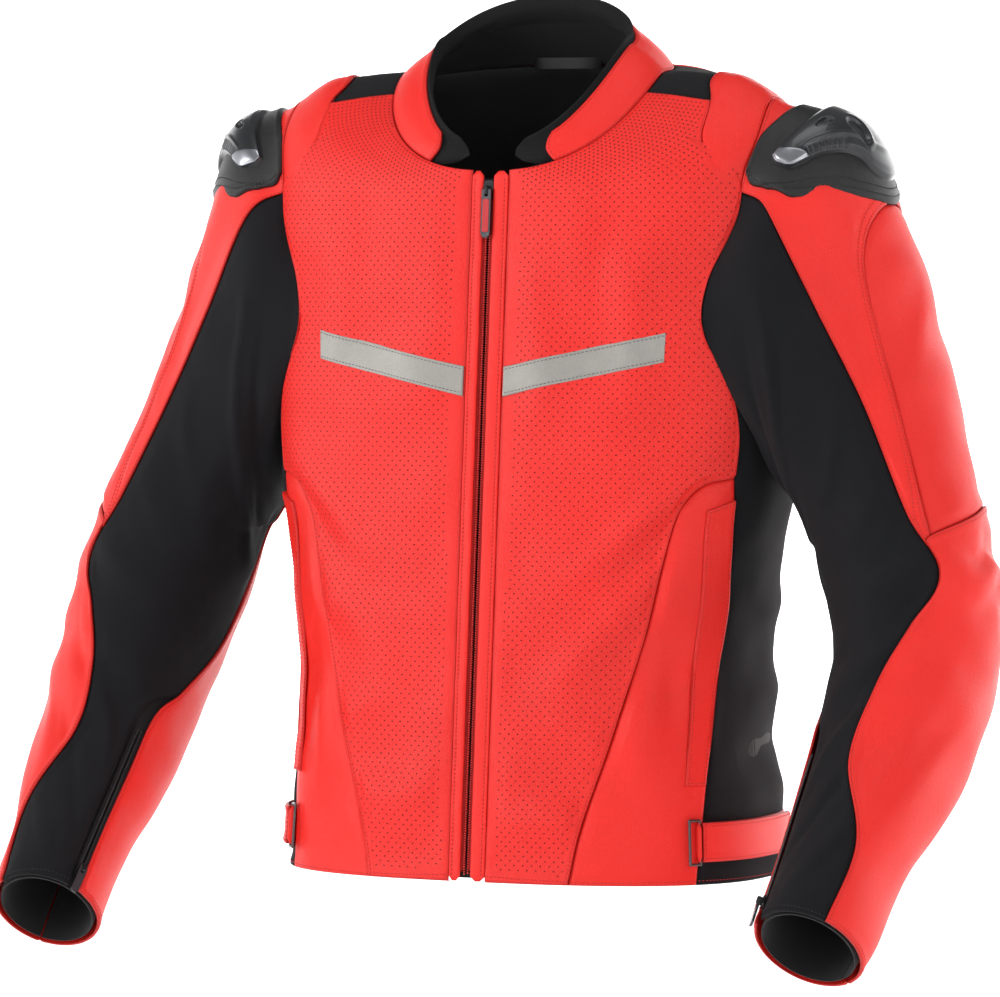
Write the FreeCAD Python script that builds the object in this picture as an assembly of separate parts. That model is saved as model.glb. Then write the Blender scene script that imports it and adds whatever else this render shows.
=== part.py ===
import FreeCAD, Part
import math
import os

# Leather riding jacket, hanging from its loop as if worn by an invisible body.
# Millimetres. X points to the wearer's left, -Y to the front, +Z up.
# The origin is the hang loop, sewn inside the back of the neck.

V = FreeCAD.Vector

# ---------------------------------------------------------------- overall sizes
HEM_Z = -656.0            # hem below the hang loop
ARMPIT_Z = -335.0         # lowest point of the armhole
NECK_FRONT_Z = -92.0      # centre front of the neck seam
NECK_SIDE_Z = -13.0
NECK_BACK_Z = -2.0
CHEST_HALF_WIDTH = 221.0
WAIST_HALF_WIDTH = 195.0
HEM_HALF_WIDTH = 203.0
NECK_HALF_WIDTH = 115.0
SHOULDER_HALF_WIDTH = 213.0
FRONT_HEM_DEPTH = 132.0   # centre front, ahead of the body's middle plane
FRONT_NECK_DEPTH = 86.0
BACK_DEPTH = 151.0        # centre back at the chest, behind the middle plane
BACK_NECK_DEPTH = 74.0
AXIS_Y = -66.0            # the body's middle plane lies this far in front of the loop
SLEEVE_DROP = 0.0         # lowers elbow and cuff together

# ---------------------------------------------------------------- material thicknesses and clearances
LEATHER = 1.4
STRETCH = 1.4
LINING = 1.0
SEAM_GAP = 0.5            # between two neighbouring panels
LAYER_GAP = 0.6           # between stacked layers
LINING_DEPTH = 4.2        # outer leather surface to outer face of the lining
TRIM = 0.9                # reflective band

# ---------------------------------------------------------------- front zip
PLACKET_LEFT = 13.0       # width of the folded leather edge on the wearer's left
PLACKET_RIGHT = 10.0
ZIP_SLOT = 9.0            # clear width between the two plackets
TAPE_WIDTH = 15.0
TAPE = 0.7
COIL_WIDTH = 2.6
COIL_HEIGHT = 2.0
COIL_GAP = 1.4            # between the two coil rows, room for the slider's post
TOOTH_CLEAR = 0.4         # between the slider's plates and the coil
SLIDER_LENGTH = 16.0
SLIDER_WIDTH = 8.4
PLATE = 1.2
POST = 0.7
POST_LENGTH = 4.0
PULLER_LENGTH = 38.0
PULLER_WIDTH = 8.0
PULLER = 2.4
RETAINER = 3.2            # block at the foot of the zip
RETAINER_LENGTH = 9.0
ZIP_TOP_MARGIN = 8.0      # from the neck seam down to the top of the chain
ZIP_END_MARGIN = 6.0      # from the hem up to the bottom of the chain

# ---------------------------------------------------------------- cuff zips
CUFF_SLIDER_LENGTH = 11.0
CUFF_SLIDER_WIDTH = 7.4
CUFF_PULLER_LENGTH = 24.0
CUFF_PULLER_WIDTH = 6.6
CUFF_PULLER = 2.0
CUFF_TAPE_WIDTH = 3.6

# ---------------------------------------------------------------- small helpers


def mix(a, b, t):
    return a + (b - a) * t


def catmull(points, t):
    """Point at t (0..1) on a smooth curve through equally weighted points."""
    last = len(points) - 1
    x = min(max(t, 0.0), 1.0) * last
    i = min(int(x), last - 1)
    u = x - i
    p1 = points[i]
    p2 = points[i + 1]
    p0 = points[i - 1] if i > 0 else [2 * a - b for a, b in zip(p1, p2)]
    p3 = points[i + 2] if i + 2 <= last else [2 * a - b for a, b in zip(p2, p1)]
    out = []
    for a, b, c, d in zip(p0, p1, p2, p3):
        m1 = (c - a) / 2
        m2 = (d - b) / 2
        h = (2 * b - 2 * c + m1 + m2) * u ** 3
        out.append(h + (-3 * b + 3 * c - 2 * m1 - m2) * u * u + m1 * u + b)
    return out


def curve(*points):
    """A seam in surface coordinates: a smooth curve through the points."""
    return lambda t: catmull(points, t)


def backwards(seam):
    return lambda t: seam(1 - t)


def along(seam, start, end):
    return lambda t: seam(mix(start, end, t))


def power(value, exponent):
    return math.copysign(abs(value) ** exponent, value)


def unit(vector):
    return vector * (1.0 / vector.Length)


# ---------------------------------------------------------------- the body surface
# Each ring: side half-width, side z, front z, back depth, back z.
# Ring 0 is the hem, the last ring is the neck seam.
# The front depth is left out: the centre front is one straight line, for the zip.
def low(share):
    """Height between the hem (0) and the armpit (1)."""
    return mix(HEM_Z, ARMPIT_Z, share)


def side_high(share):
    """Height at the side between the armpit (0) and the neck (1)."""
    return mix(ARMPIT_Z, NECK_SIDE_Z, share)


def front_high(share):
    return mix(ARMPIT_Z, NECK_FRONT_Z, share)


def back_high(share):
    return mix(ARMPIT_Z, NECK_BACK_Z, share)


def shoulder_width(share):
    """Half-width between the neck (0) and the shoulder (1)."""
    return mix(NECK_HALF_WIDTH, SHOULDER_HALF_WIDTH, share)


CHEST_EASE = 6.0          # the armpit ring is this much narrower than the chest
SHOULDER_EASE = 3.0
RING_TABLE = [
    [HEM_HALF_WIDTH, HEM_Z, HEM_Z, BACK_DEPTH - 1, HEM_Z],
    [WAIST_HALF_WIDTH + SHOULDER_EASE, low(0.3), low(0.3), BACK_DEPTH - 9, low(0.3)],
    [WAIST_HALF_WIDTH, low(0.58), low(0.58), BACK_DEPTH - 14, low(0.58)],
    [mix(WAIST_HALF_WIDTH, CHEST_HALF_WIDTH, 0.35), low(0.8), low(0.8), BACK_DEPTH - 10, low(0.8)],
    [CHEST_HALF_WIDTH - CHEST_EASE, ARMPIT_Z, ARMPIT_Z, BACK_DEPTH - 4, ARMPIT_Z],
    [CHEST_HALF_WIDTH, side_high(0.248), front_high(0.3), BACK_DEPTH, back_high(0.231)],
    [CHEST_HALF_WIDTH + SHOULDER_EASE, side_high(0.497), front_high(0.556), BACK_DEPTH, back_high(0.45)],
    [CHEST_HALF_WIDTH + 1, side_high(0.73), front_high(0.741), BACK_DEPTH - 5, back_high(0.646)],
    [SHOULDER_HALF_WIDTH + SHOULDER_EASE, side_high(0.9), front_high(0.868), BACK_DEPTH - 19, back_high(0.808)],
    [shoulder_width(0.72), side_high(0.978), front_high(0.934), BACK_DEPTH - 40, back_high(0.91)],
    [shoulder_width(0.34), side_high(0.997), front_high(0.971), BACK_DEPTH - 59, back_high(0.97)],
    [NECK_HALF_WIDTH, NECK_SIDE_Z, NECK_FRONT_Z, BACK_NECK_DEPTH, NECK_BACK_Z],
]


def front_depth(z):
    return mix(FRONT_HEM_DEPTH, FRONT_NECK_DEPTH, (z - HEM_Z) / (NECK_FRONT_Z - HEM_Z))


RINGS = [[half, side_z, front_depth(z), z, back, back_z] for half, side_z, z, back, back_z in RING_TABLE]
FRONT_SQUARE = 2.5        # exponents of the oval rings, 2 is an ellipse
BACK_SQUARE = 2.5
RISE = 1.4                # how late a ring climbs from its front height to its side height


def body_at(angle, v):
    """Point of the outer leather surface. Angle -90 is centre front, 0 the side, 90 centre back."""
    ring = catmull(RINGS, v)
    front = angle < 0
    depth = -ring[2] if front else ring[4]
    end_z = ring[3] if front else ring[5]
    square = FRONT_SQUARE if front else BACK_SQUARE
    c = power(math.cos(math.radians(angle)), 2 / square)
    s = abs(math.sin(math.radians(angle))) ** (2 / square)
    return V(ring[0] * c, AXIS_Y + depth * s, mix(ring[1], end_z, s ** RISE))


def level_where(angle, z):
    """Ring number at which the line of one angle reaches height z."""
    low_v, high_v = 0.0, 1.0
    for _ in range(40):
        v = (low_v + high_v) / 2
        if body_at(angle, v).z < z:
            low_v = v
        else:
            high_v = v
    return low_v


def spot(share, z, front=True):
    """Surface coordinates of the point at height z, a share of the half-width from the centre."""
    square = FRONT_SQUARE if front else BACK_SQUARE
    angle = math.degrees(math.acos(min(share, 1.0) ** (square / 2)))
    angle = -angle if front else angle
    return [angle, level_where(angle, z)]


def normal_at(surface, a, b, da, db):
    pa = surface(a + da, b) - surface(a - da, b)
    pb = surface(a, min(b + db, 1.0)) - surface(a, max(b - db, 0.0))
    n = pa.cross(pb)
    return unit(n)


def body_offset(angle, v, distance):
    inside = min(max(angle, -89.0), 89.0)
    level = min(max(v, 0.005), 0.995)
    return body_at(angle, v) + normal_at(body_at, inside, level, 0.8, 0.004) * distance


# ---------------------------------------------------------------- seams of the body, wearer's left half
def front_edge(distance):
    """Line that runs up the front at a distance from the centre line."""
    return lambda t: locate_edge(distance, t)


def locate_edge(distance, t):
    half = catmull(RINGS, t)[0]
    return [-math.degrees(math.acos((distance / half) ** (FRONT_SQUARE / 2))), t]


ARMHOLE = [
    [0.0, 0.752],
    spot(0.937, side_high(0.78)),
    spot(0.9, side_high(0.643)),
    spot(0.808, side_high(0.481)),
    spot(0.808, side_high(0.339)),
    spot(0.933, side_high(0.177)),
    [0.0, 0.365],
    spot(0.933, back_high(0.171), False),
    spot(0.857, back_high(0.339), False),
    spot(0.839, back_high(0.502), False),
    spot(0.881, back_high(0.652), False),
    spot(0.933, back_high(0.772), False),
]


def armhole(turn):
    """Armhole seam, turn 0 at the shoulder top, 0.25 in front, 0.5 at the armpit, 0.75 behind."""
    count = len(ARMHOLE)
    x = (turn % 1.0) * count
    i = int(x) % count
    ring = [ARMHOLE[(i + k) % count] for k in (-1, 0, 1, 2)]
    return catmull(ring, (1 + x - int(x)) / 3)


APEX = 1.6 / 12           # turn of the front top corner, where the armour ends
SIDE_TOP = 4.7 / 12       # turn where the side seam meets the armhole in front
BACK_TOP = 10.6 / 12      # the same corners behind
SIDE_BACK = 7.3 / 12

NECK_FRONT_CORNER = [-15.0, 1.0]      # front corner of the neck insert
NECK_BACK_CORNER = [34.0, 1.0]
INSERT_FRONT_OUTER = spot(0.969, side_high(0.925))
INSERT_BACK_OUTER = spot(0.859, back_high(0.907), False)

insert_outer = curve(INSERT_FRONT_OUTER, [0.0, 0.876], INSERT_BACK_OUTER)
insert_front = curve(INSERT_FRONT_OUTER, NECK_FRONT_CORNER)
insert_back = curve(INSERT_BACK_OUTER, NECK_BACK_CORNER)
shoulder_seam = curve(
    INSERT_FRONT_OUTER, spot(0.879, side_high(0.835)), spot(0.832, side_high(0.752)), armhole(APEX))
back_shoulder_seam = curve(INSERT_BACK_OUTER, spot(0.836, back_high(0.82), False), armhole(BACK_TOP))
SIDE_CORNER = spot(0.926, ARMPIT_Z)
side_seam = curve(
    spot(0.877, HEM_Z), spot(0.919, low(0.299)), spot(0.945, low(0.548)), spot(0.951, low(0.798)), SIDE_CORNER)
upper_side_seam = curve(SIDE_CORNER, spot(0.925, side_high(0.109)), armhole(SIDE_TOP))
PANEL_CORNER = spot(0.773, low(0.916))
# one smooth seam from the hem to the side; its last part is the top of the lower panel
panel_line = curve(
    spot(0.429, HEM_Z), spot(0.484, low(0.15)), spot(0.61, low(0.386)),
    spot(0.711, low(0.604)), spot(0.743, low(0.782)),
    PANEL_CORNER, spot(0.836, low(0.981)), SIDE_CORNER,
)
panel_seam = along(panel_line, 0.0, 5 / 7)
pocket_top = along(panel_line, 5 / 7, 1.0)
back_side_seam = curve(
    spot(0.837, HEM_Z, False), spot(0.838, low(0.299), False), spot(0.862, low(0.548), False),
    spot(0.896, low(0.86), False), armhole(SIDE_BACK),
)


# ---------------------------------------------------------------- shells from surfaces
def side_faces(outer, inner):
    faces = []
    for name, at in (("uIso", 0.0), ("uIso", 1.0), ("vIso", 0.0), ("vIso", 1.0)):
        pair = []
        for surface in (outer, inner):
            u0, u1, v0, v1 = surface.bounds()
            value = mix(u0, u1, at) if name == "uIso" else mix(v0, v1, at)
            pair.append(getattr(surface, name)(value).toShape())
        faces.append(Part.makeRuledSurface(pair[0], pair[1]))
    return faces


def spline_poles(points):
    """Control points of a smooth curve through the points, at even steps."""
    last = len(points) - 1
    slopes = []
    for i in range(last + 1):
        if i == 0:
            slopes.append((points[1] * 4 - points[0] * 3 - points[2]) * 0.5)
        elif i == last:
            slopes.append((points[last] * 3 - points[last - 1] * 4 + points[last - 2]) * 0.5)
        else:
            slopes.append((points[i + 1] - points[i - 1]) * 0.5)
    poles = [points[0]]
    for i in range(last):
        poles.append(points[i] + slopes[i] * (1 / 3))
        poles.append(points[i + 1] - slopes[i + 1] * (1 / 3))
    return poles + [points[last]]


def spline_knots(count):
    return [float(i) for i in range(count)], [4] + [2] * (count - 2) + [4]


def surface_through(grid):
    """Smooth surface through a grid of points. Its edges depend only on the points on that edge,
    so two surfaces that share a row of points meet exactly."""
    across = [spline_poles(row) for row in grid]
    columns = [spline_poles([row[j] for row in across]) for j in range(len(across[0]))]
    poles = [[column[i] for column in columns] for i in range(len(columns[0]))]
    u_knots, u_mults = spline_knots(len(grid))
    v_knots, v_mults = spline_knots(len(grid[0]))
    surface = Part.BSplineSurface()
    surface.buildFromPolesMultsKnots(poles, u_mults, v_mults, u_knots, v_knots, False, False, 3, 3)
    return surface


def shell_solid(outer_grid, inner_grid, row_breaks, column_breaks):
    """Closed solid between two grids of points of the same size, creased at the breaks."""
    rows = [0] + list(row_breaks) + [len(outer_grid) - 1]
    columns = [0] + list(column_breaks) + [len(outer_grid[0]) - 1]
    faces = []
    for r, (r0, r1) in enumerate(zip(rows, rows[1:])):
        for c, (c0, c1) in enumerate(zip(columns, columns[1:])):
            pair = [surface_through([row[c0:c1 + 1] for row in grid[r0:r1 + 1]])
                    for grid in (outer_grid, inner_grid)]
            faces += [surface.toShape() for surface in pair]
            ends = side_faces(*pair)
            open_ends = (r == 0, r == len(rows) - 2, c == 0, c == len(columns) - 2)
            faces += [face for face, wanted in zip(ends, open_ends) if wanted]
    sewn = Part.makeCompound(faces)
    sewn.sewShape(0.01)
    solid = Part.makeSolid(sewn.Shells[0])
    if solid.Volume < 0:
        solid.reverse()
    return solid


def coons(bottom, right, top, left, s, t):
    """Surface coordinates inside four seams; s runs left to right, t bottom to top."""
    c00, c10, c11, c01 = bottom(0), bottom(1), top(1), top(0)
    out = []
    for k in range(2):
        rows = mix(bottom(s)[k], top(s)[k], t)
        columns = mix(left(t)[k], right(t)[k], s)
        corners = mix(mix(c00[k], c10[k], s), mix(c01[k], c11[k], s), t)
        out.append(rows + columns - corners)
    return out


def straight(a, b):
    return lambda t: [mix(p, q, t) for p, q in zip(a, b)]


def stations(count, breaks):
    """Even steps from 0 to 1 that hit each break, and the indices of the breaks."""
    edges = [0.0] + list(breaks) + [1.0]
    values = [0.0]
    indices = []
    for start, stop in zip(edges, edges[1:]):
        steps = max(round((stop - start) * (count - 1)), 3)
        values += [mix(start, stop, (k + 1) / steps) for k in range(steps)]
        indices.append(len(values) - 1)
    return values, indices[:-1]


def panel(lift, seams, near, far, size=(13, 13), gap=SEAM_GAP, s_breaks=(), t_breaks=()):
    """Solid panel inside four seams, between two distances from its surface.
    lift(a, b, distance) gives a point; the edges keep half the seam gap clear.
    The breaks are where the seams turn a corner."""
    bottom, right, top, left = seams
    columns, column_breaks = stations(size[0], s_breaks)
    rows, row_breaks = stations(size[1], t_breaks)

    def at(s, t):
        return coons(bottom, right, top, left, s, t)

    def length(points):
        return max(sum(a.distanceToPoint(b) for a, b in zip(points, points[1:])), 4.0)

    steps = [k / 6 for k in range(7)]
    across = [gap / 2 / length([lift(*at(s, t), 0.0) for s in steps]) for t in rows]
    up = [gap / 2 / length([lift(*at(s, t), 0.0) for t in steps]) for s in columns]
    outer, inner = [], []
    for t, side in zip(rows, across):
        inset = [at(mix(side, 1 - side, s), mix(end, 1 - end, t)) for s, end in zip(columns, up)]
        outer.append([lift(a, b, far) for a, b in inset])
        inner.append([lift(a, b, near) for a, b in inset])
    return shell_solid(outer, inner, row_breaks, column_breaks)


def mirrored(shape):
    return shape.mirror(V(0, 0, 0), V(1, 0, 0))


def group(*shapes):
    return Part.makeCompound(list(shapes))


os.makedirs("parts", exist_ok=True)


def write(name, shape):
    shape.exportStep("parts/" + name + ".step")


def write_pair(name, shape):
    """The wearer's left piece as modelled, and its mirror image on the right."""
    write(name + "_left", shape)
    write(name + "_right", mirrored(shape))


# ---------------------------------------------------------------- body panels
def leather(seams, size=(13, 13), s_breaks=(), t_breaks=()):
    return panel(body_offset, seams, -LEATHER, 0.0, size, SEAM_GAP, s_breaks, t_breaks)


def pieced(*pieces):
    """One seam made of several, each given with the share of the way where it ends."""
    def seam(t):
        start = 0.0
        for end, piece in pieces:
            if t <= end:
                return piece((t - start) / (end - start))
            start = end
        return pieces[-1][1](1.0)
    return seam


outer_front = pieced(
    (0.33, panel_seam), (0.39, pocket_top), (0.46, upper_side_seam),
    (0.72, along(armhole, SIDE_TOP, APEX)), (1.0, backwards(shoulder_seam)),
)


def front_panel(placket):
    edge = front_edge(ZIP_SLOT / 2 + placket)
    neck_line = curve(edge(1.0), [-62.0, 1.0], [-36.0, 1.0], NECK_FRONT_CORNER)
    top = pieced((0.6, neck_line), (1.0, backwards(insert_front)))
    hem = curve(edge(0.0), spot(0.246, HEM_Z), spot(0.429, HEM_Z))
    return leather((hem, outer_front, top, edge), (16, 30), (0.6,), (0.39, 0.46, 0.72))


left_front = front_panel(PLACKET_LEFT)
right_front = mirrored(front_panel(PLACKET_RIGHT))
write("front_panel_left", left_front)
write("front_panel_right", right_front)

lower_hem = curve(spot(0.429, HEM_Z), spot(0.665, HEM_Z), spot(0.877, HEM_Z))
write_pair("lower_front_panel", leather((lower_hem, side_seam, pocket_top, panel_seam), (11, 17)))

write_pair("shoulder_panel", leather(
    (along(armhole, APEX, BACK_TOP - 1), backwards(back_shoulder_seam),
     insert_outer, backwards(shoulder_seam)), (15, 9)))

neck_seam_insert = curve(NECK_FRONT_CORNER, [10.0, 1.0], NECK_BACK_CORNER)
insert = panel(body_offset, (insert_outer, insert_back, neck_seam_insert, insert_front), -STRETCH, 0.0, (9, 7))
write("shoulder_stretch_inserts", group(insert, mirrored(insert)))

side_hem = curve(spot(0.877, HEM_Z), [0.0, 0.0], spot(0.837, HEM_Z, False))


def front_side(t):
    return side_seam(t / 0.75) if t < 0.75 else upper_side_seam((t - 0.75) / 0.25)


side = panel(
    body_offset, (side_hem, back_side_seam, along(armhole, SIDE_TOP, SIDE_BACK), front_side),
    -STRETCH, 0.0, (13, 17), SEAM_GAP, (), (0.75,),
)
write_pair("side_stretch_panel", side)

# ---------------------------------------------------------------- back panels
YOKE_Z = back_high(0.556)
RIB_TOP_Z = low(0.704)
RIB_BOTTOM_Z = low(0.424)


def across_back(z, share):
    """Level line over the whole back, out to a share of the half-width on both sides."""
    points = [spot(share * k / 3, z, False) for k in (3, 2, 1)]
    wearer_right = [[180 - a, v] for a, v in points]
    return curve(*wearer_right, [90.0, level_where(90.0, z)], *reversed(points))


def share_of(point):
    """Share of the half-width at which a point of the back lies."""
    return math.cos(math.radians(point[0])) ** (2 / BACK_SQUARE)


def flipped(seam):
    """The same seam on the wearer's right half."""
    return lambda t: [180 - seam(t)[0], seam(t)[1]]


def whole_body_at(angle, v):
    if angle > 90:
        p = body_at(180 - angle, v)
        return V(-p.x, p.y, p.z)
    return body_at(angle, v)


def whole_offset(angle, v, distance):
    if angle > 90:
        p = body_offset(180 - angle, v, distance)
        return V(-p.x, p.y, p.z)
    return body_offset(angle, v, distance)


def turn_at(z):
    """Turn of the armhole behind, at height z."""
    low, high = SIDE_BACK, BACK_TOP
    for _ in range(30):
        middle = (low + high) / 2
        if body_at(*armhole(middle)).z < z:
            low = middle
        else:
            high = middle
    return low


def seam_at(seam, z):
    """Share of the way up a seam where it reaches height z."""
    low, high = 0.0, 1.0
    for _ in range(30):
        middle = (low + high) / 2
        if body_at(*seam(middle)).z < z:
            low = middle
        else:
            high = middle
    return low


def back_piece(bottom_z, top_z, thickness, rows):
    start = seam_at(back_side_seam, bottom_z)
    end = seam_at(back_side_seam, top_z)
    side_line = along(back_side_seam, start, end)
    bottom = across_back(bottom_z, share_of(side_line(0)))
    top = across_back(top_z, share_of(side_line(1)))
    seams = (bottom, side_line, top, flipped(side_line))
    return panel(whole_offset, seams, -thickness, 0.0, (19, rows))


write("lower_back_panel", back_piece(HEM_Z, RIB_BOTTOM_Z, LEATHER, 7))
write("lumbar_stretch_panel", back_piece(RIB_BOTTOM_Z, RIB_TOP_Z, LEATHER, 7))

yoke_turn = turn_at(YOKE_Z)
back_start = seam_at(back_side_seam, RIB_TOP_Z)
main_side = pieced((0.55, along(back_side_seam, back_start, 1.0)), (1.0, along(armhole, SIDE_BACK, yoke_turn)))
main_bottom = across_back(RIB_TOP_Z, share_of(main_side(0)))
yoke_line = across_back(YOKE_Z, share_of(main_side(1)))
write("back_panel", panel(
    whole_offset, (main_bottom, main_side, yoke_line, flipped(main_side)), -LEATHER, 0.0, (21, 17),
    SEAM_GAP, (), (0.55,)))

yoke_side = pieced((0.45, along(armhole, yoke_turn, BACK_TOP)), (1.0, backwards(back_shoulder_seam)))
half_neck = pieced((0.4, insert_back), (1.0, curve(NECK_BACK_CORNER, [60.0, 1.0], [90.0, 1.0])))


def neck_line_back(t):
    if t < 0.5:
        return flipped(half_neck)(t * 2)
    return half_neck(2 - t * 2)


write("back_yoke", panel(
    whole_offset, (yoke_line, yoke_side, neck_line_back, flipped(yoke_side)), -LEATHER, 0.0, (25, 13),
    SEAM_GAP, (0.2, 0.8), (0.45,)))

# ---------------------------------------------------------------- collar
COLLAR_TOP = [84, 10, 83, -78, 46, 44]     # side half-width, z, front depth, z, back depth, z
COLLAR_SQUARE = 2.2
COLLAR_LEATHER = 1.8
COLLAR_PAD = 5.0
SHELL_END = 43.0          # the leather collar stops this far from the centre line
LINING_END = 18.0


def collar_top_at(angle):
    front = angle < 0
    c = power(math.cos(math.radians(angle)), 2 / COLLAR_SQUARE)
    s = abs(math.sin(math.radians(angle))) ** (2 / COLLAR_SQUARE)
    depth = -COLLAR_TOP[2] if front else COLLAR_TOP[4]
    end_z = COLLAR_TOP[3] if front else COLLAR_TOP[5]
    return V(COLLAR_TOP[0] * c, AXIS_Y + depth * s, mix(COLLAR_TOP[1], end_z, s ** RISE))


def collar_at(angle, h):
    """Point of the collar's outer face; h is 0 at the neck seam, 1 at the top edge."""
    half = 180 - angle if angle > 90 else angle
    base = body_at(half, 1.0)
    top = collar_top_at(half)
    bulge = math.sin(math.pi * h) * 3.0
    p = base + (top - base) * h
    out = V(p.x, p.y - AXIS_Y, 0)
    p = p + unit(out) * bulge
    return V(-p.x, p.y, p.z) if angle > 90 else p


def collar_offset(angle, h, distance):
    level = min(max(h, 0.03), 0.97)
    n = normal_at(collar_at, angle, level, 1.5, 0.03)
    return collar_at(angle, h) + n * distance


def collar_band(end_angle, low, high, near, far, columns=33):
    start, stop = end_angle, 180 - end_angle
    seams = (
        straight([start, low], [stop, low]), straight([stop, low], [stop, high]),
        straight([start, high], [stop, high]), straight([start, low], [start, high]),
    )
    return panel(collar_offset, seams, near, far, (columns, 7), 0.0)


def end_angle(x):
    return -math.degrees(math.acos((x / 100.0) ** (COLLAR_SQUARE / 2)))


write("collar_shell", collar_band(end_angle(SHELL_END), 0.03, 0.97, -COLLAR_LEATHER, 0.0))
pad_far = -COLLAR_LEATHER - 0.4
write("collar_lining", collar_band(end_angle(LINING_END), 0.0, 1.12, pad_far - COLLAR_PAD, pad_far))

# ---------------------------------------------------------------- the sleeve surface
# Three hand-set rings near the shoulder: top, front, inner and back point of each.
# x is measured out from the chest, y from the body's middle plane,
# z is a share of the way from the armpit to the shoulder.
CAP_RINGS = [
    [(51, 20, 0.898), (-7, -72, 0.464), (4, 10, -0.027), (5, 104, 0.484)],
    [(89, 30, 0.611), (27, -66, 0.297), (15, 10, -0.083), (33, 108, 0.317)],
    [(121, 27, 0.317), (63, -60, 0.11), (27, 8, -0.164), (71, 94, 0.117)],
]
# Centre line of the lower rings, x out from the chest, z below the armpit, with half-width and half-depth.
ARM_RINGS = [
    [(96, 4, 34), 67, 72],
    [(113, -8, 95), 67, 73],
    [(121, -28, 145), 66, 70],
    [(122, -66, 197), 62, 63],
    [(118, -116, 251), 55, 56],
    [(115, -168, 301), 48, 50],
    [(110, -217, 350), 43, 45],
]
SHOULDER_TOP_Z = body_at(*ARMHOLE[0]).z


def cardinal_ring(points, phi):
    top, front, inner, back = [
        V(CHEST_HALF_WIDTH + x, AXIS_Y + y, mix(ARMPIT_Z, SHOULDER_TOP_Z, share)) for x, y, share in points]
    centre = (top + front + inner + back) * 0.25
    c, s = math.cos(math.radians(phi)), math.sin(math.radians(phi))
    skew = (top + inner - front - back) * (0.25 * math.cos(math.radians(2 * phi)))
    return centre + (top - inner) * (0.5 * c) + (front - back) * (0.5 * s) + skew


def arm_ring(index, phi):
    centres = [
        V(CHEST_HALF_WIDTH + x, AXIS_Y + y, ARMPIT_Z - drop - SLEEVE_DROP) for (x, y, drop), _, _ in ARM_RINGS]
    before = centres[max(index - 1, 0)]
    after = centres[min(index + 1, len(centres) - 1)]
    if index == 0:
        before = centres[0] + V(-27, -16, 55)
    down = unit(after - before)
    lateral = unit(V(1, 0, 0) - down * down.x)
    front = unit(lateral.cross(down)) * -1
    if front.y > 0:
        front = front * -1
    width, depth = ARM_RINGS[index][1:]
    c, s = math.cos(math.radians(phi)), math.sin(math.radians(phi))
    return centres[index] + lateral * (width * c) + front * (depth * s)


SLEEVE_CACHE = {}


def sleeve_rings(phi):
    key = round(phi, 3)
    if key not in SLEEVE_CACHE:
        rings = [body_at(*armhole(phi / 360.0))]
        rings += [cardinal_ring(points, phi) for points in CAP_RINGS]
        rings += [arm_ring(i, phi) for i in range(len(ARM_RINGS))]
        SLEEVE_CACHE[key] = [[p.x, p.y, p.z] for p in rings]
    return SLEEVE_CACHE[key]


def sleeve_at(phi, w):
    """Outer face of the wearer's left sleeve. Phi 0 is outside, 90 front, 180 inside, 270 back."""
    return V(*catmull(sleeve_rings(phi), w))


def sleeve_offset(phi, w, distance):
    level = min(max(w, 0.01), 0.99)
    return sleeve_at(phi, w) + normal_at(sleeve_at, phi, level, 2.0, 0.01) * distance


def sleeve_panel(seams, thickness, size):
    return panel(sleeve_offset, seams, -thickness, 0.0, size)


# Seams of the sleeve, in degrees around it at even steps from armhole to cuff.
ZIP_TURN = 143.0
ZIP_HALF_TURN = 6.0
ZIP_UPPER = 0.77          # where the cuff zip starts and ends along the sleeve
ZIP_LOWER = 0.985
FRONT_SEAM = [360 * APEX, 61, 64, 65, 61, 51, 73, 89, 90, 57, 54]
INNER_SEAM = [205, 203, 200, 200, 198, 195, 185, 164]
INNER_FORK = 0.7          # where the inner seam parts into the two edges beside the cuff zip
SLOT_START = 0.755
BACK_SEAM_TURN = -60.0


def seam_points(turns):
    last = len(FRONT_SEAM) - 1
    return [[turn, k / last] for k, turn in enumerate(turns)]


stretch_front = curve(*seam_points(FRONT_SEAM))
inner_seam = curve(*seam_points(INNER_SEAM))


def inner_edge(turn):
    """The shared inner seam, then its own edge of the slot for the cuff zip."""
    lower = curve(inner_seam(1.0), [turn, SLOT_START], [turn, mix(SLOT_START, 1.0, 0.5)], [turn, 1.0])
    return pieced((INNER_FORK, inner_seam), (1.0, lower))


stretch_inner = inner_edge(ZIP_TURN - ZIP_HALF_TURN)
under_front = inner_edge(ZIP_TURN + ZIP_HALF_TURN)
under_back = straight([BACK_SEAM_TURN + 360, 0], [BACK_SEAM_TURN + 360, 1])


def cuff_line(start, stop):
    return straight([start, 1.0], [stop, 1.0])


def armhole_line(start, stop):
    return straight([start, 0.0], [stop, 0.0])


# stretch panel and under panel run the whole length
cuff_front, cuff_inner, cuff_under = FRONT_SEAM[-1], ZIP_TURN - ZIP_HALF_TURN, ZIP_TURN + ZIP_HALF_TURN
write_pair("sleeve_stretch_panel", sleeve_panel(
    (cuff_line(cuff_inner, cuff_front), backwards(stretch_front),
     armhole_line(INNER_SEAM[0], FRONT_SEAM[0]), backwards(stretch_inner)), STRETCH, (13, 33)))
write_pair("sleeve_under_panel", sleeve_panel(
    (cuff_line(BACK_SEAM_TURN + 360, cuff_under), backwards(under_front),
     armhole_line(BACK_SEAM_TURN + 360, INNER_SEAM[0]), backwards(under_back)), LEATHER, (13, 33)))

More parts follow.
